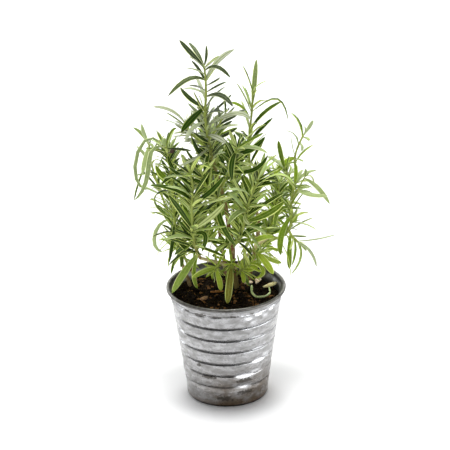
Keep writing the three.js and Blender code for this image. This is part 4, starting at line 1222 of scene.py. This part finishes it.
def add_green_stem(bm, stem):
    """Adds a green stem that starts inside the wood, browner at the foot if it is thick."""
    carrier = stem["carrier"]
    root = spline_point(carrier["points"], stem["on"][1]) if carrier["bark"] else None
    foot = old_foot if stem["radii"][0] > old_stem_radius else young_foot
    return add_stem(bm, stem, green_radius(stem), stem_sides, 1,
                    lambda t: (min(foot + greening * t, 1), 0, 0.5, 1), root)


def leaf_up(leaf, look):
    """Which way the upper face looks: to the viewer if the picture shows the leaf so."""
    seen_above = leaf["up"] @ viewer >= 0 if leaf["shown"] else True
    return leaf["up"] if seen_above != (look == "u") else -leaf["up"]


# %% Put a shoot together
def shoot_piece(node):
    """A shoot's stems and leaves in one mesh. The fresher it is, the blunter are its leaves."""
    bm = bmesh.new()
    places = [add_green_stem(bm, stem) for stem in greens if stem["node"] == node]
    if node == dried_bud["node"]:
        places.append(add_stem(bm, dried_bud, bud_radius, stem_sides, 1, lambda t: (0, 1, 0.5, 1)))
    tint_values = [None] * len(places)
    shoulder = 0.55 + 0.15 * tints[node][0]
    for kind, (mesh, corners) in leaf_kinds:
        for leaf in kind:
            if leaf["stem"]["node"] == node:
                look = leaf_look(leaf)
                shaped = {**leaf, "up": leaf_up(leaf, look), "shoulder": shoulder}
                bm.from_mesh(mesh)
                places.append(bend_leaf(shaped, corners))
                tint_values.append(leaf_tint(leaf, look))
    layer = bm.verts.layers.float_color["tint"]
    tinted = [tint for tint, piece in zip(tint_values, places) for _ in piece]
    for corner, place, tint in zip(bm.verts, in_box(np.concatenate(places)), tinted):
        corner.co = place
        if tint:
            corner[layer] = tint
    return finish_piece(bm, node + "_grown", (leaf_finish, stem_finish), [node])


# %% Grow every shoot
for node in sorted({stem["node"] for stem in greens}):
    shoot_piece(node)

# %% [markdown]
# ## Woody stems
# Old rosemary wood has thin, rough bark that cracks lengthwise, brown to beige, greener where
# the stem is young. The bark could be a bump alone, but up close it changes the outline, so
# the tube's own radius is uneven and the fine cracks are a bump on it.

# %% Bark finish
bark_finish, bark_shader = new_finish("woody_bark", 0.8, specular=0.25)
fresh, grey, _ = attribute(bark_shader, "tint")
cracks = grain(bark_shader, 0.9, 5, (1, 1, 0.18), 0.65)
patches = grain(bark_shader, 5, 2)
brown = mixed(bark_shader, cracks, paint(74, 40, 28), paint(164, 112, 84))
beige = mixed(bark_shader, cracks, paint(176, 156, 108), paint(244, 234, 190))
greenish = mixed(bark_shader, cracks, paint(104, 96, 48), paint(176, 170, 96))
dry = step(bark_shader, calc(bark_shader, "ADD", patches, grey), 0.55, 1.0)
tone = mixed(bark_shader, dry, brown, beige)
feed(bark_shader, "Base Color", mixed(bark_shader, fresh, tone, greenish))
feed(bark_shader, "Normal", relief(bark_shader, cracks, 0.35, 0.8))
print("finish:", bark_finish.name)

# %% Wood sections and tints
# For each: how green its bark is, how dry, and how green its foot is.
wood_sides = 14
wood_tones = {"wood_front": (0.05, 0.05, 0.65), "wood_left": (0.1, 1, 0.2),
              "wood_right": (0.1, 0.6, 0.2)}
usual_wood = (0.1, 0.2, 0.2)
green_foot, green_top, top_green = (108, 100), (150, 195), 0.8
knot_size, knot_depth, knots_around = 4, 0.16, 0.9


def wood_radius(stem):
    """An uneven round section."""
    def radius(t, angle):
        spot = Vector(spline_point(stem["points"], t)) / knot_size
        knot = noise.noise(spot + Vector((math.cos(angle), math.sin(angle), 0)) * knots_around)
        return between(stem["radii"], t) * (1 + knot_depth * knot)
    return radius


def wood_tint(stem):
    """Greener near the soil and where the wood is young."""
    fresh, grey, foot = wood_tones.get(stem["name"], usual_wood)

    def tint(t):
        height = spline_point(stem["points"], t)[2]
        fresher = max(foot * rise(height, *green_foot), top_green * rise(height, *green_top))
        return (max(fresh, fresher), grey, 0.5, 1)
    return tint


# %% Grow the wood
def wood_piece(node):
    """A woody stem and its branches in one mesh."""
    bm = bmesh.new()
    places = []
    for stem in stems.values():
        if stem["node"] == node:
            places.append(add_stem(bm, stem, wood_radius(stem), wood_sides, 0, wood_tint(stem)))
    carry(bm, np.concatenate(places))
    return finish_piece(bm, node + "_bark", (bark_finish,), [node])


for node in sorted({stem["node"] for stem in stems.values() if stem["bark"]}):
    wood_piece(node)

# %% [markdown]
# ## The pot
# The pot is one sheet of galvanised steel, rolled to a cone, pressed with grooves and turned
# over a wire at the rim. A lathe-turned outline gives all of that: each band bulges a little
# between two creases, which are narrow and sharp. The foot draws in at the table, so that a
# thin dark line of shade lies under it. The sheet is dented a little, because a perfect cone
# has reflections that a pressed pot never shows.

# %% Pot sizes
pot_low, pot_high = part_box("pot")
pot_height = pot_high.z / MM
rim_radius = -pot_low.y / MM - 0.02
roll_radius, roll_angles = 1.5, range(-70, 181, 14)
sheet = 0.8
foot_radius, foot_band, foot_step = 33.2, 18.0, 8.0
cone_radius, cone_slope = 32.9, 0.1515
rib_count, rib_pitch, rib_depth = 6, 11.6, 0.9
bulge_depth, crease_depth, crease_start = 0.35, 1.0, 0.7
shoulder = foot_band + rib_count * rib_pitch
pot_steps = 144
lip_inset, lip_drop, lip_flare = 1.35 * roll_radius, 1.9 * roll_radius, 1.5
lip_shares, inner_lip = (0, 0.08, 0.2, 0.35, 0.5, 0.65, 0.8, 0.92, 1), (0.9, 0.7, 0.5, 0.35, 0.2)
undercut = [(-0.6, 0), (-0.45, 0.5), (0, 1.1), (0.5, 1.8), (0.62, 2.6), (1, foot_step)]
half_rib = (0, 0.025, 0.05, 0.08, 0.115, 0.15, 0.2, 0.3, 0.4)
rib_shares = half_rib + (0.5,) + tuple(1 - share for share in reversed(half_rib[1:]))
print("pot:", round(pot_height, 1), "high,", round(2 * rim_radius, 1), "wide")


# %% Pot outline
def cone_at(z):
    """The radius of the plain cone at a height."""
    return cone_radius + cone_slope * z


def lip_point(share):
    """A point on the lip that flares from the top rib to the rolled rim."""
    low, high = cone_at(shoulder) - rib_depth, rim_radius - lip_inset
    top = pot_height - lip_drop
    return low + (high - low) * share ** lip_flare, shoulder + (top - shoulder) * share


def crease(edge):
    """How deep the crease is, for 0 in the middle of a rib to 1 at its edges."""
    return crease_depth * rise(edge, crease_start, 1) ** 2


def crease_at(z):
    """How deep the crease is at a height."""
    share = (z - foot_band) / rib_pitch
    return crease(abs(2 * (share % 1) - 1)) if 0 <= share <= rib_count else 0


def rib_point(rib, share):
    """A point on a rib: the cone, less its bulge towards the edges, less the crease."""
    z = foot_band + (rib + share) * rib_pitch
    edge = abs(2 * share - 1)
    return cone_at(z) - bulge_depth * edge ** 2 - crease(edge), z


outside = [(foot_radius + more, z) for more, z in undercut]
outside += [(cone_at(13) - 0.1, 13), (cone_at(16), 16)]
outside += [rib_point(rib, share) for rib in range(rib_count) for share in rib_shares]
outside += [lip_point(share) for share in lip_shares]
roll = [(rim_radius - roll_radius * (1 - math.cos(angle)),
         pot_height - roll_radius * (1 - math.sin(angle)))
        for angle in map(math.radians, roll_angles)]
inside = [(radius - sheet, z) for radius, z in map(lip_point, inner_lip)]
inside += [(cone_at(z) - rib_depth - sheet, z) for z in (shoulder, 80, 60, foot_band)]
inside += [(foot_radius + 1 - sheet, foot_step), (foot_radius - sheet, 0.3), (foot_radius - sheet, 0)]
outline = outside + roll + inside
print("points in the pot's outline:", len(outline))

# %% [markdown]
# The wall of a used pot is not even: grooves are worn flatter and less dark at the sides and low down,
# some places are knocked flat, and dark flakes sit under the lip and low on the right. Those flakes
# are partly stains and partly painted shade and a painted dark reflection, and the knocked places are
# also painted near white as painted highlights. Noise would put such marks anywhere, so those that the
# picture shows are placed one by one. A point attribute `wear_shade_and_highlight` says how worn, how
# dark and how knocked in each point of the wall is.

# %% Marks on the metal
# Each mark is at so many degrees to the right of the front, at a height, half its width and
# half its height.
# Dark flakes: those under the lip and low on the right are partly stains and partly painted shade and
# a painted dark reflection.
dark_flakes_and_shade = [(-46, 88.8, 4, 0.9), (-29, 88.4, 6, 1.6), (-11, 88.0, 6, 1.0), (8, 88.4, 4.5, 0.9),
               (27, 88.6, 3, 0.8), (24, 24.4, 8, 2.4), (27, 12.6, 9, 2.6), (-4, 8, 8, 2.2),
               (-38, 38, 2.2, 3), (-25, 28, 7, 2), (150, 60, 6, 2), (115, 35, 8, 2)]
# Knocked places: dented in, and painted near white as painted highlights.
knocks_and_highlights = [(23, 29.4, 8, 2.2), (38, 31.6, 6, 2.0), (22, 19.0, 8, 2.2), (43, 41.4, 6, 1.9),
          (54, 44.2, 5, 1.8), (-64, 65.2, 3, 1.4), (-66, 53.6, 3, 1.4), (-58, 88, 5, 1.2),
          (40, 53.4, 7, 1.2), (36, 65, 7, 1.2), (24, 85.5, 4, 1.5), (36, 87.5, 4, 1.6),
          (46, 84, 3, 1.4), (55, 88, 4, 1.6), (30, 80.5, 2.5, 1.2), (14, 11, 9, 1.6),
          (140, 41, 9, 2.0), (-120, 30, 8, 2.0)]
worn_sides, worn_low, worn_top = (48, 62), (34, 26), (82, 84)
side_wear, low_wear, wear_patch = 0.8, 0.45, 9
side_ragged, low_ragged = 14, 8
print("marks:", len(dark_flakes_and_shade), "dark and", len(knocks_and_highlights), "bright")


# %% Wear at a point of the wall
def mark(x, y, z, place):
    """How much of a mark there is at a point, from 0 to 1."""
    side, height, half_width, half_height = place
    turn = math.atan2(x, -y) - math.radians(side)
    across = math.atan2(math.sin(turn), math.cos(turn)) * math.hypot(x, y) / half_width
    return math.exp(-across ** 4 - ((z - height) / half_height) ** 2)


def wear_shade_and_highlight_at(x, y, z):
    """How worn the grooves are, how dark the metal is, partly as painted shade, and how deep it is
    dented in, where a highlight is also painted.
    """
    side = abs(math.degrees(math.atan2(x, -y)))
    patchy = noise.noise(Vector((x, y, z)) / wear_patch)
    knocked_and_highlight = max(mark(x, y, z, place) for place in knocks_and_highlights)
    flaked_and_shaded = max(mark(x, y, z, place) for place in dark_flakes_and_shade)
    sides = side_wear * rise(side + side_ragged * patchy, *worn_sides)
    low = low_wear * rise(z - low_ragged * patchy, *worn_low)
    top = rise(z, *worn_top) * (1 - flaked_and_shaded)
    return max(knocked_and_highlight, sides, low, top), flaked_and_shaded, knocked_and_highlight


# %% [markdown]
# Zinc shows as a patchwork of grey tones with a soft sheen. Its grooves are painted darker, partly
# dirt and partly painted shade, less where they are worn. Low on the right it is browner, with stains
# and a painted dark reflection, and browner still at the foot, whose lowest edge carries a painted
# contact shadow. Knocked places are painted near white as painted highlights, and the rolled rim and
# the inside are duller, darker copies of the zinc: a painted dark reflection on the rim and painted
# shade inside. The tones are noise on Object coordinates. The streaks of light come from the lamps.

# %% Zinc: stains, dirt and painted shade
def low_stain_and_reflection(shader, height, side):
    """Brown stains and a painted dark reflection towards the foot, weaker on the left."""
    low = step(shader, height, 0.004, 0.05, 1, 0)
    right = step(shader, side, -0.024, -0.004, 0.3, 1)
    cloudy = step(shader, grain(shader, 9, 4, (1, 1, 1.6)), 0.33, 0.58, 0.55, 1)
    return times(shader, low, right, cloudy)


def groove_shade_and_dirt(shader, height, worn, dirt_and_shade):
    """The grooves painted darker, partly soiled and partly as painted shade, less where they are worn,
    and none on the foot and the lip.
    """
    from_foot = calc(shader, "SUBTRACT", height, foot_band * MM)
    rib = calc(shader, "FRACT", calc(shader, "DIVIDE", from_foot, rib_pitch * MM))
    off_middle = calc(shader, "ABSOLUTE", calc(shader, "SUBTRACT", rib, 0.5))
    above_foot = step(shader, height, (foot_band - 1.5) * MM, (foot_band - 0.5) * MM)
    below_lip = step(shader, height, (shoulder + 0.9) * MM, (shoulder + 1.9) * MM, 1, 0)
    patchy = step(shader, grain(shader, 8, 3), 0.3, 0.6, 0.45, 1)
    in_groove = step(shader, off_middle, 0.4, 0.48, 0, dirt_and_shade)
    return times(shader, in_groove, above_foot, below_lip, patchy, calc(shader, "SUBTRACT", 1, worn))


def stains_and_painted_shade(shader, flaked_and_shaded, dirt_and_shade):
    """Small stains anywhere, and ragged dark flakes in their places, partly painted shade."""
    stains = step(shader, grain(shader, 5, 4, (1, 1, 2.2)), 0.58, 0.7, 0, dirt_and_shade * 0.6)
    ragged = step(shader, grain(shader, 2.2, 4), 0.35, 0.65, -0.25, 0.25)
    flakes = step(shader, calc(shader, "ADD", flaked_and_shaded, ragged), 0.45, 0.7, 0, 0.8)
    return calc(shader, "MAXIMUM", stains, flakes)


# %% Zinc finishes
def zinc(name, dark, light, roughness, dirt_and_shade):
    """Galvanised steel between two greys. `dirt_and_shade` is how dark its grooves and stains are,
    partly as painted shade.
    """
    finish, shader = new_finish(name, roughness, metallic=1)
    worn, flaked_and_shaded, knocked_and_highlight = attribute(shader, "wear_shade_and_highlight")
    side, _, height = apart(shader, place_on(shader))
    clouds = grain(shader, 8, 4, (1, 1, 2.4), 0.5)
    cells = add_node(shader, "TexVoronoi", "Color", {"feature": "F1"}, Vector=place_on(shader),
                     Scale=1 / (2.2 * MM))
    cell = add_node(shader, "SeparateColor", "Red", Color=cells)
    share = calc(shader, "ADD", times(shader, clouds, 0.85), times(shader, cell, 0.12))
    # Darker grooves, stains and flakes: partly dirt, partly painted shade.
    grime_and_shade = calc(shader, "MAXIMUM", groove_shade_and_dirt(shader, height, worn, dirt_and_shade),
                 stains_and_painted_shade(shader, flaked_and_shaded, dirt_and_shade))
    # Browner towards the foot.
    browner_foot = step(shader, height, 0.0006, 0.0075, 0.4, 0)
    # A painted contact shadow: the lowest couple of millimetres of the wall painted nearly black.
    edge = step(shader, height, 0.0006, 0.0022, 0.95, 0)
    tone = mixed(shader, step(shader, share, 0.25, 0.75), dark, light)
    # Low on the right: brown stains and a painted dark reflection of the shaded floor.
    for amount, colour in ((low_stain_and_reflection(shader, height, side), paint(102, 92, 80)),
                           # Knocked places painted near white: painted highlights.
                           (times(shader, knocked_and_highlight, 0.75), paint(234, 235, 238)),
                           (grime_and_shade, paint(66, 62, 56)), (browner_foot, paint(124, 98, 72)),
                           (edge, paint(36, 28, 20))):
        tone = mixed(shader, amount, tone, colour)
    feed(shader, "Base Color", tone)
    feed(shader, "Roughness", step(shader, share, 0.3, 0.8, roughness + 0.1, roughness - 0.05))
    feed(shader, "Normal", relief(shader, grain(shader, 3.5, 3), 0.14, 0.6))
    return finish


zinc_outer = zinc("galvanised_zinc", paint(142, 141, 140), paint(188, 188, 190), 0.24, 0.55)
# The rolled rim: a darker copy of the zinc, a painted dark reflection.
zinc_rim_painted_dark = zinc("rim_zinc_painted_dark", paint(84, 82, 78), paint(124, 122, 118), 0.38, 0.5)
# The inside: a darker copy of the zinc, painted shade.
zinc_inner_painted_shade = zinc("inner_zinc_painted_shade", paint(112, 112, 111), paint(160, 160, 158), 0.4, 0.4)
zincs = (zinc_outer, zinc_rim_painted_dark, zinc_inner_painted_shade)
print("finishes for the pot:", [finish.name for finish in zincs])

# %% Turn the pot
dent_size, dent_depth, knock_depth = 13.0, 0.3, 1.15
dent_turn, dent_flatness, small_dents, small_share = 40, 1.4, 2.3, 0.5
foot_fade, rim_fade = 6, 3


def dent(corner, layer):
    """Moves a corner in or out a little and notes how worn, how dark and how dented it is; the
    darkness is partly painted shade and the dents partly painted highlights.
    """
    x, y, z = corner.co
    angle = math.atan2(y, x)
    worn, flaked_and_shaded, knocked_and_highlight = wear_shade_and_highlight_at(x, y, z)
    spot = Vector((math.cos(angle) * dent_turn, math.sin(angle) * dent_turn, z * dent_flatness))
    spot /= dent_size
    fade = rise(z, 0, foot_fade) * rise(z, pot_height, pot_height - rim_fade)
    move = dent_depth * fade * (noise.noise(spot) + small_share * noise.noise(spot * small_dents))
    if math.hypot(x, y) > cone_at(z) - rib_depth - sheet / 2:
        move += worn * crease_at(z) - knock_depth * knocked_and_highlight
    corner.co += Vector((x, y, 0)).normalized() * move
    corner[layer] = (worn, flaked_and_shaded, knocked_and_highlight, 1)


bm = turned(outline, pot_steps, closed=True)
wear_shade_and_highlight_layer = bm.verts.layers.float_color.new("wear_shade_and_highlight")
for corner in bm.verts:
    dent(corner, wear_shade_and_highlight_layer)
for face in bm.faces:
    spot, normal = face.calc_center_median(), face.normal
    if spot.z > pot_height - 2 * roll_radius - 0.2:
        face.material_index = 1
    elif normal.x * spot.x + normal.y * spot.y < 0:
        face.material_index = 2
finish_piece(bm, "ribbed_pot", zincs, ["pot"])

# %% Turn the pressed bottom
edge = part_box("pot_base")[1].x / MM - 0.9
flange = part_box("pot_base")[1].z / MM
pan = [(0, 0), (edge - 1.2, 0), (edge - 0.5, 0.12), (edge - 0.12, 0.5), (edge, 1.2)]
pan += [(edge + 0.8, flange), (edge, flange), (edge - sheet, 1.8), (edge - sheet - 0.4, 1.1)]
pan += [(edge - sheet - 1.1, sheet), (0, sheet)]
finish_piece(turned(pan, pot_steps), "pressed_bottom", (zinc_outer,), ["pot_base"])

# %% [markdown]
# ## The soil
# Potting compost is nearly black, crumbly and full of small fibres. A bumpy disc would do from
# afar, but the pot is looked into from above, so the top is raised by noise at two sizes and
# strewn with loose crumbs, each a lump of its own half sunk into it.

# %% Soil finish
soil_finish, soil_shader = new_finish("compost_crumb", 0.95, specular=0.05)
specks = grain(soil_shader, 0.7, 5)
lumps = grain(soil_shader, 3, 4)
dark = mixed(soil_shader, lumps, paint(3, 2, 1), paint(34, 25, 15))
speck = step(soil_shader, specks, 0.6, 0.7, 0, 0.7)
dryness = attribute(soil_shader, "tint")[0]
brown = mixed(soil_shader, specks, paint(62, 40, 20), paint(186, 136, 88))
crumb_tone = mixed(soil_shader, speck, dark, paint(118, 88, 50))
crumb_tone = mixed(soil_shader, dryness, crumb_tone, brown)
feed(soil_shader, "Base Color", crumb_tone)
feed(soil_shader, "Normal", relief(soil_shader, specks, 0.5, 1))
print("finish:", soil_finish.name)

# %% The soil's relief
soil_edge, soil_crown, soil_radius = 87.0, 2.6, 43.6
soil_rings, soil_steps = 44, 160
pan_top, pan_spread = 7, 0.9
# Two sizes of lumps with their heights, and how far from its edge the relief fades out.
fine_size, fine_height, broad_size, broad_height, edge_fade = 2.6, 0.55, 6, 0.5, 3
fractal_shape = (0.9, 2.1, 4)


def soil_top(x, y):
    """The height of the solid's own top: a low crown with waves of two sizes."""
    share = min(1, math.hypot(x, y) / soil_radius)
    lumps = 0.8 * math.sin(x / 7 + 1) * math.cos(y / 6) + 0.5 * math.sin(x / 3.1 + y / 4.3)
    return soil_edge + soil_crown * (1 - share * share) + lumps


def crumble(x, y):
    """The small relief on top of the soil's own shape, fading out at its edge."""
    spot = Vector((x, y, 0))
    fine = noise.fractal(spot / fine_size, *fractal_shape) * fine_height
    broad = noise.noise(spot / broad_size) * broad_height
    return (fine + broad) * rise(soil_radius - math.hypot(x, y), 0, edge_fade)


# %% Turn the soil
foot = foot_radius - 2 * sheet - 2 * gap
profile = [(0, sheet + gap), (foot, sheet + gap), (foot + pan_spread / 2, pan_top + gap),
           (cone_at(foot_band) - rib_depth - sheet - gap, foot_band), (soil_radius, soil_edge - 1.5)]
profile += [(soil_radius * (1 - i / soil_rings), soil_edge) for i in range(soil_rings + 1)]
bm = turned(profile, soil_steps)
tint_layer = bm.verts.layers.float_color.new("tint")
for corner in bm.verts:
    corner[tint_layer] = (0, 0, 0, 1)
    if corner.co.z > soil_edge - 0.5:
        corner.co.z = soil_top(corner.co.x, corner.co.y) + crumble(corner.co.x, corner.co.y)
print("the soil's top, mm:", round(max(corner.co.z for corner in bm.verts), 1))

# %% A crumb
crumb_count = 1200
crumb_least, crumb_more, crumb_reach, crumb_sink = 0.35, 1.1, 0.965, 0.2
cluster_size, cluster_shift, cluster_limit, cluster_crumbs = 9, Vector((3, 1, 0)), 0.1, 1.25
crumb_stretch, bump_depth, bump_scale = ((0.8, 1.7), (0.6, 1.1), (0.5, 0.9)), 0.45, 1.3
dry_clustered, dry_single, dry_range = 0.55, 0.07, (0.3, 1)
scatter = random.Random(5)


def lump_corners(corners, size):
    """A round crumb, dented by noise, with its own proportions."""
    shift = Vector([scatter.uniform(-50, 50) for _ in range(3)])
    bumps = [1 + bump_depth * noise.noise(Vector(corner) * bump_scale + shift) for corner in corners]
    stretch = [scatter.uniform(*ends) for ends in crumb_stretch]
    spin = np.array(Matrix.Rotation(scatter.uniform(0, math.tau), 3, "Z"))
    return (corners * np.array(bumps)[:, None] * size * np.array(stretch)) @ spin.T


lump = bmesh.new()
bmesh.ops.create_uvsphere(lump, u_segments=8, v_segments=6, radius=1)
crumb = as_mesh(lump, "crumb")
crumb_corners = corners_of(crumb)
print("faces of a crumb:", len(crumb.polygons))

# %% Strew the crumbs
loose = bmesh.new()
loose_layer = loose.verts.layers.float_color.new("tint")
places, dryness = [], []
for _ in range(crumb_count):
    radius = soil_radius * math.sqrt(scatter.random()) * crumb_reach
    angle = scatter.uniform(0, math.tau)
    x, y = radius * math.cos(angle), radius * math.sin(angle)
    clustered = noise.noise(Vector((x, y, 0)) / cluster_size + cluster_shift) > cluster_limit
    size = (crumb_least + crumb_more * scatter.random() ** 3) * (cluster_crumbs if clustered else 1)
    top = soil_top(x, y) + crumble(x, y) + size * crumb_sink
    loose.from_mesh(crumb)
    places.append(lump_corners(crumb_corners, size) + (x, y, top))
    is_dry = scatter.random() < (dry_clustered if clustered else dry_single)
    dryness += [scatter.uniform(*dry_range) if is_dry else 0] * len(crumb_corners)
carry(loose, np.concatenate(places))
for corner, dry in zip(loose.verts, dryness):
    corner[loose_layer] = (dry, 0, 0, 1)
bm.from_mesh(as_mesh(loose, "crumbs"))
finish_piece(bm, "crumbly_soil", (soil_finish,), ["soil"])

# %% [markdown]
# ## Litter
# On the soil lie a curled dry leaf, two dry flower bits, a green stalk, a brown twig and a chip
# of bark. They are leaves, stems and a crumb again, so the same helpers make them. Each one
# is lowered or raised until its lowest point is where its solid's is.

# %% Litter finishes
def dry_finish(name, dark, light, roughness=0.8):
    """A fibrous finish between two colours."""
    finish, shader = new_finish(name, roughness, specular=0.25)
    fibres = grain(shader, 0.9, 4, (1, 0.4, 1))
    feed(shader, "Base Color", mixed(shader, step(shader, fibres, 0.35, 0.68), dark, light))
    feed(shader, "Normal", relief(shader, fibres, 0.25, 0.7))
    return finish


straw_finish = dry_finish("dry_straw", paint(222, 200, 132), paint(252, 244, 200))
petal_finish = dry_finish("dry_petal", paint(236, 200, 168), paint(255, 244, 228))
stalk_finish = dry_finish("pale_stalk", paint(196, 220, 132), paint(238, 248, 196), 0.6)
twig_finish = dry_finish("brown_twig", paint(140, 88, 40), paint(204, 146, 80))
chip_finish = dry_finish("bark_chip", paint(112, 76, 52), paint(214, 168, 126))
print("finishes for the litter:", [finish.name for finish in (straw_finish, petal_finish, stalk_finish,
                                                              twig_finish, chip_finish)])

# %% Litter shapes
litter_lift, leaf_room = 0.5, 0.8
stick_sides, knots_along, knottiness, blunt_end, end_slope = 12, 9, 0.18, 0.6, 8


def on_soil(point, thickness):
    """A point that is given as right, back and lift above the soil."""
    x, y, lift = point
    return np.array((x, y, soil_top(x, y) + gap + thickness + lift + litter_lift))


def settle(bm, node):
    """Puts a piece's lowest point where its solid's is."""
    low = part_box(node)[0].z / MM
    drop = low - min(corner.co.z for corner in bm.verts)
    bmesh.ops.translate(bm, verts=bm.verts, vec=(0, 0, drop))


def dry_leaf(node, points, width, finish):
    """A curled leaf or petal."""
    mesh, corners = fine_leaf
    bm = bmesh.new()
    bm.from_mesh(mesh)
    leaf = {"points": [on_soil(point, leaf_room) for point in points], "up": np.array((0, 0, 1.0)),
            "width": width}
    carry(bm, bend_leaf(leaf, corners))
    settle(bm, node)
    return finish_piece(bm, node + "_curled", (finish,), [node])


def stick(node, points, radius, finish):
    """A stalk or twig, knotty and blunt at both ends."""
    bm = bmesh.new()
    stem = {"points": [on_soil(point, radius) for point in points], "radii": (radius, radius * 0.7)}

    def uneven(t, angle):
        knot = noise.noise(Vector((t * knots_along, math.cos(angle), math.sin(angle))))
        blunt = min(1, blunt_end + end_slope * t, blunt_end + end_slope * (1 - t))
        return between(stem["radii"], t) * (1 + knottiness * knot) * blunt

    carry(bm, add_stem(bm, stem, uneven, stick_sides, 0, lambda t: (0, 0, 0, 1)))
    settle(bm, node)
    return finish_piece(bm, node + "_bent", (finish,), [node])


# %% Lay out the litter
dry_leaf("litter_dry_leaf", [(31, 11.6, 0.2), (37, 13.4, 2), (42.3, 15, 5)], 6, straw_finish)
dry_leaf("litter_petal", [(16, 17, 0.3), (19, 19, 1.6), (22.5, 19, 0.6)], 5.2, petal_finish)
dry_leaf("litter_husk", [(25, 18, 0.2), (27, 21, 2.2), (27.5, 25, 1.2)], 5.2, petal_finish)
stick("litter_stalk", [(21.5, 10, 1.2), (21.5, 0, 0.2), (25, -9, 0.2), (32, -9, 0.2), (36.5, 0, 0.6),
                       (36, 7, 1.4)], 1.1, stalk_finish)
stick("litter_twig", [(-13, 0, 0.2), (-8, 1, 0.2), (-2, 0, 0.3)], 1.1, twig_finish)

# %% The bark chip
chip_low, chip_high = (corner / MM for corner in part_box("litter_bark"))
chip_half, chip_turn, large_lumps, small_lumps = (5.6, 3.0, 1.5), 0.8, (0.2, 2), (0.12, 6)
bm = bmesh.new()
bmesh.ops.create_icosphere(bm, subdivisions=4, radius=1)
for corner in bm.verts:
    lumpy = [depth * noise.noise(corner.co * scale) for depth, scale in (large_lumps, small_lumps)]
    corner.co *= 0.8 + sum(lumpy)
bmesh.ops.scale(bm, verts=bm.verts, vec=chip_half)
bmesh.ops.rotate(bm, verts=bm.verts, matrix=Matrix.Rotation(chip_turn, 3, "Z"))
bmesh.ops.translate(bm, verts=bm.verts, vec=(chip_low + chip_high) / 2)
settle(bm, "litter_bark")
finish_piece(bm, "litter_bark_chip", (chip_finish,), ["litter_bark"])

# %% [markdown]
# ## Floor and light
# The plant stands on a white table in soft light from all sides. Most of it comes from the sky
# above and from a wide window behind, which makes the leaves glow and keeps the dark shade
# close to the foot. A lamp low at the right puts the bright streaks on the ribs; it shows in
# the metal only. A small one at the left edges the pot, and a weak fill from the front lifts
# the shade. One strong lamp could do the same, but it would give hard shadows.

# %% Floor
floor_half = 12
bm = bmesh.new()
bmesh.ops.create_grid(bm, x_segments=1, y_segments=1, size=floor_half)
floor_mesh = as_mesh(bm, "floor")
floor_finish, floor_shader = new_finish("white_table", 0.7, specular=0.2)
floor_shader.inputs["Base Color"].default_value = (0.97, 0.97, 0.97, 1)
floor_mesh.materials.append(floor_finish)
floor = bpy.data.objects.new("floor", floor_mesh)
scene.collection.objects.link(floor)
print("floor:", [round(side, 1) for side in floor.dimensions])

# %% Lamps
white, cool = (1, 1, 1), (0.95, 0.98, 1)


def soft_lamp(name, place, target, size, power, colour=white, mirrored=True, lights=True):
    """A lamp that faces its target. `mirrored` says whether the metal shows it, and `lights`
    whether it lights dull surfaces."""
    data = bpy.data.lights.new(name, "AREA")
    data.shape = "RECTANGLE"
    data.size, data.size_y = size
    data.energy = power
    data.color = colour
    lamp = bpy.data.objects.new(name, data)
    way = (Vector(target) - Vector(place)).to_track_quat("-Z", "Y")
    lamp.matrix_world = Matrix.Translation(place) @ way.to_matrix().to_4x4()
    lamp.visible_glossy = mirrored
    lamp.visible_diffuse = lights
    scene.collection.objects.link(lamp)


soft_lamp("sky_above", (0.0, 0.0, 1.9), (0, 0, 0.1), (0.6, 0.6), 25)
soft_lamp("window_behind", (-0.1, 1.5, 0.9), (0, 0, 0.1), (2.8, 1.0), 27)
soft_lamp("streak_right", (0.94, -0.34, 0.2), (0, 0, 0.06), (1.8, 0.24), 8, cool, lights=False)
soft_lamp("window_left", (-0.8, 0.6, 0.2), (0, 0, 0.06), (0.7, 0.22), 1.8, cool)
soft_lamp("fill_front", (-0.45, -1.4, 0.25), (0, 0, 0.15), (1.0, 0.7), 7, mirrored=False)

# %% The room around
# The room is bright behind the plant and dim in front of it, where the metal mirrors it.
room_strength = 0.52
world = bpy.data.worlds.new("room")
world.use_nodes = True
room = world.node_tree.nodes["Background"]
backwards = apart(room, add_node(room, "TexCoord", "Generated"))[1]
bright = step(room, backwards, -0.75, 0.2)
feed(room, "Color", mixed(room, bright, (0.2, 0.2, 0.21, 1), (0.98, 0.99, 1, 1)))
room.inputs["Strength"].default_value = room_strength
scene.world = world
scene.view_settings.view_transform = "Standard"
print("room:", world.name, "strength", room_strength)
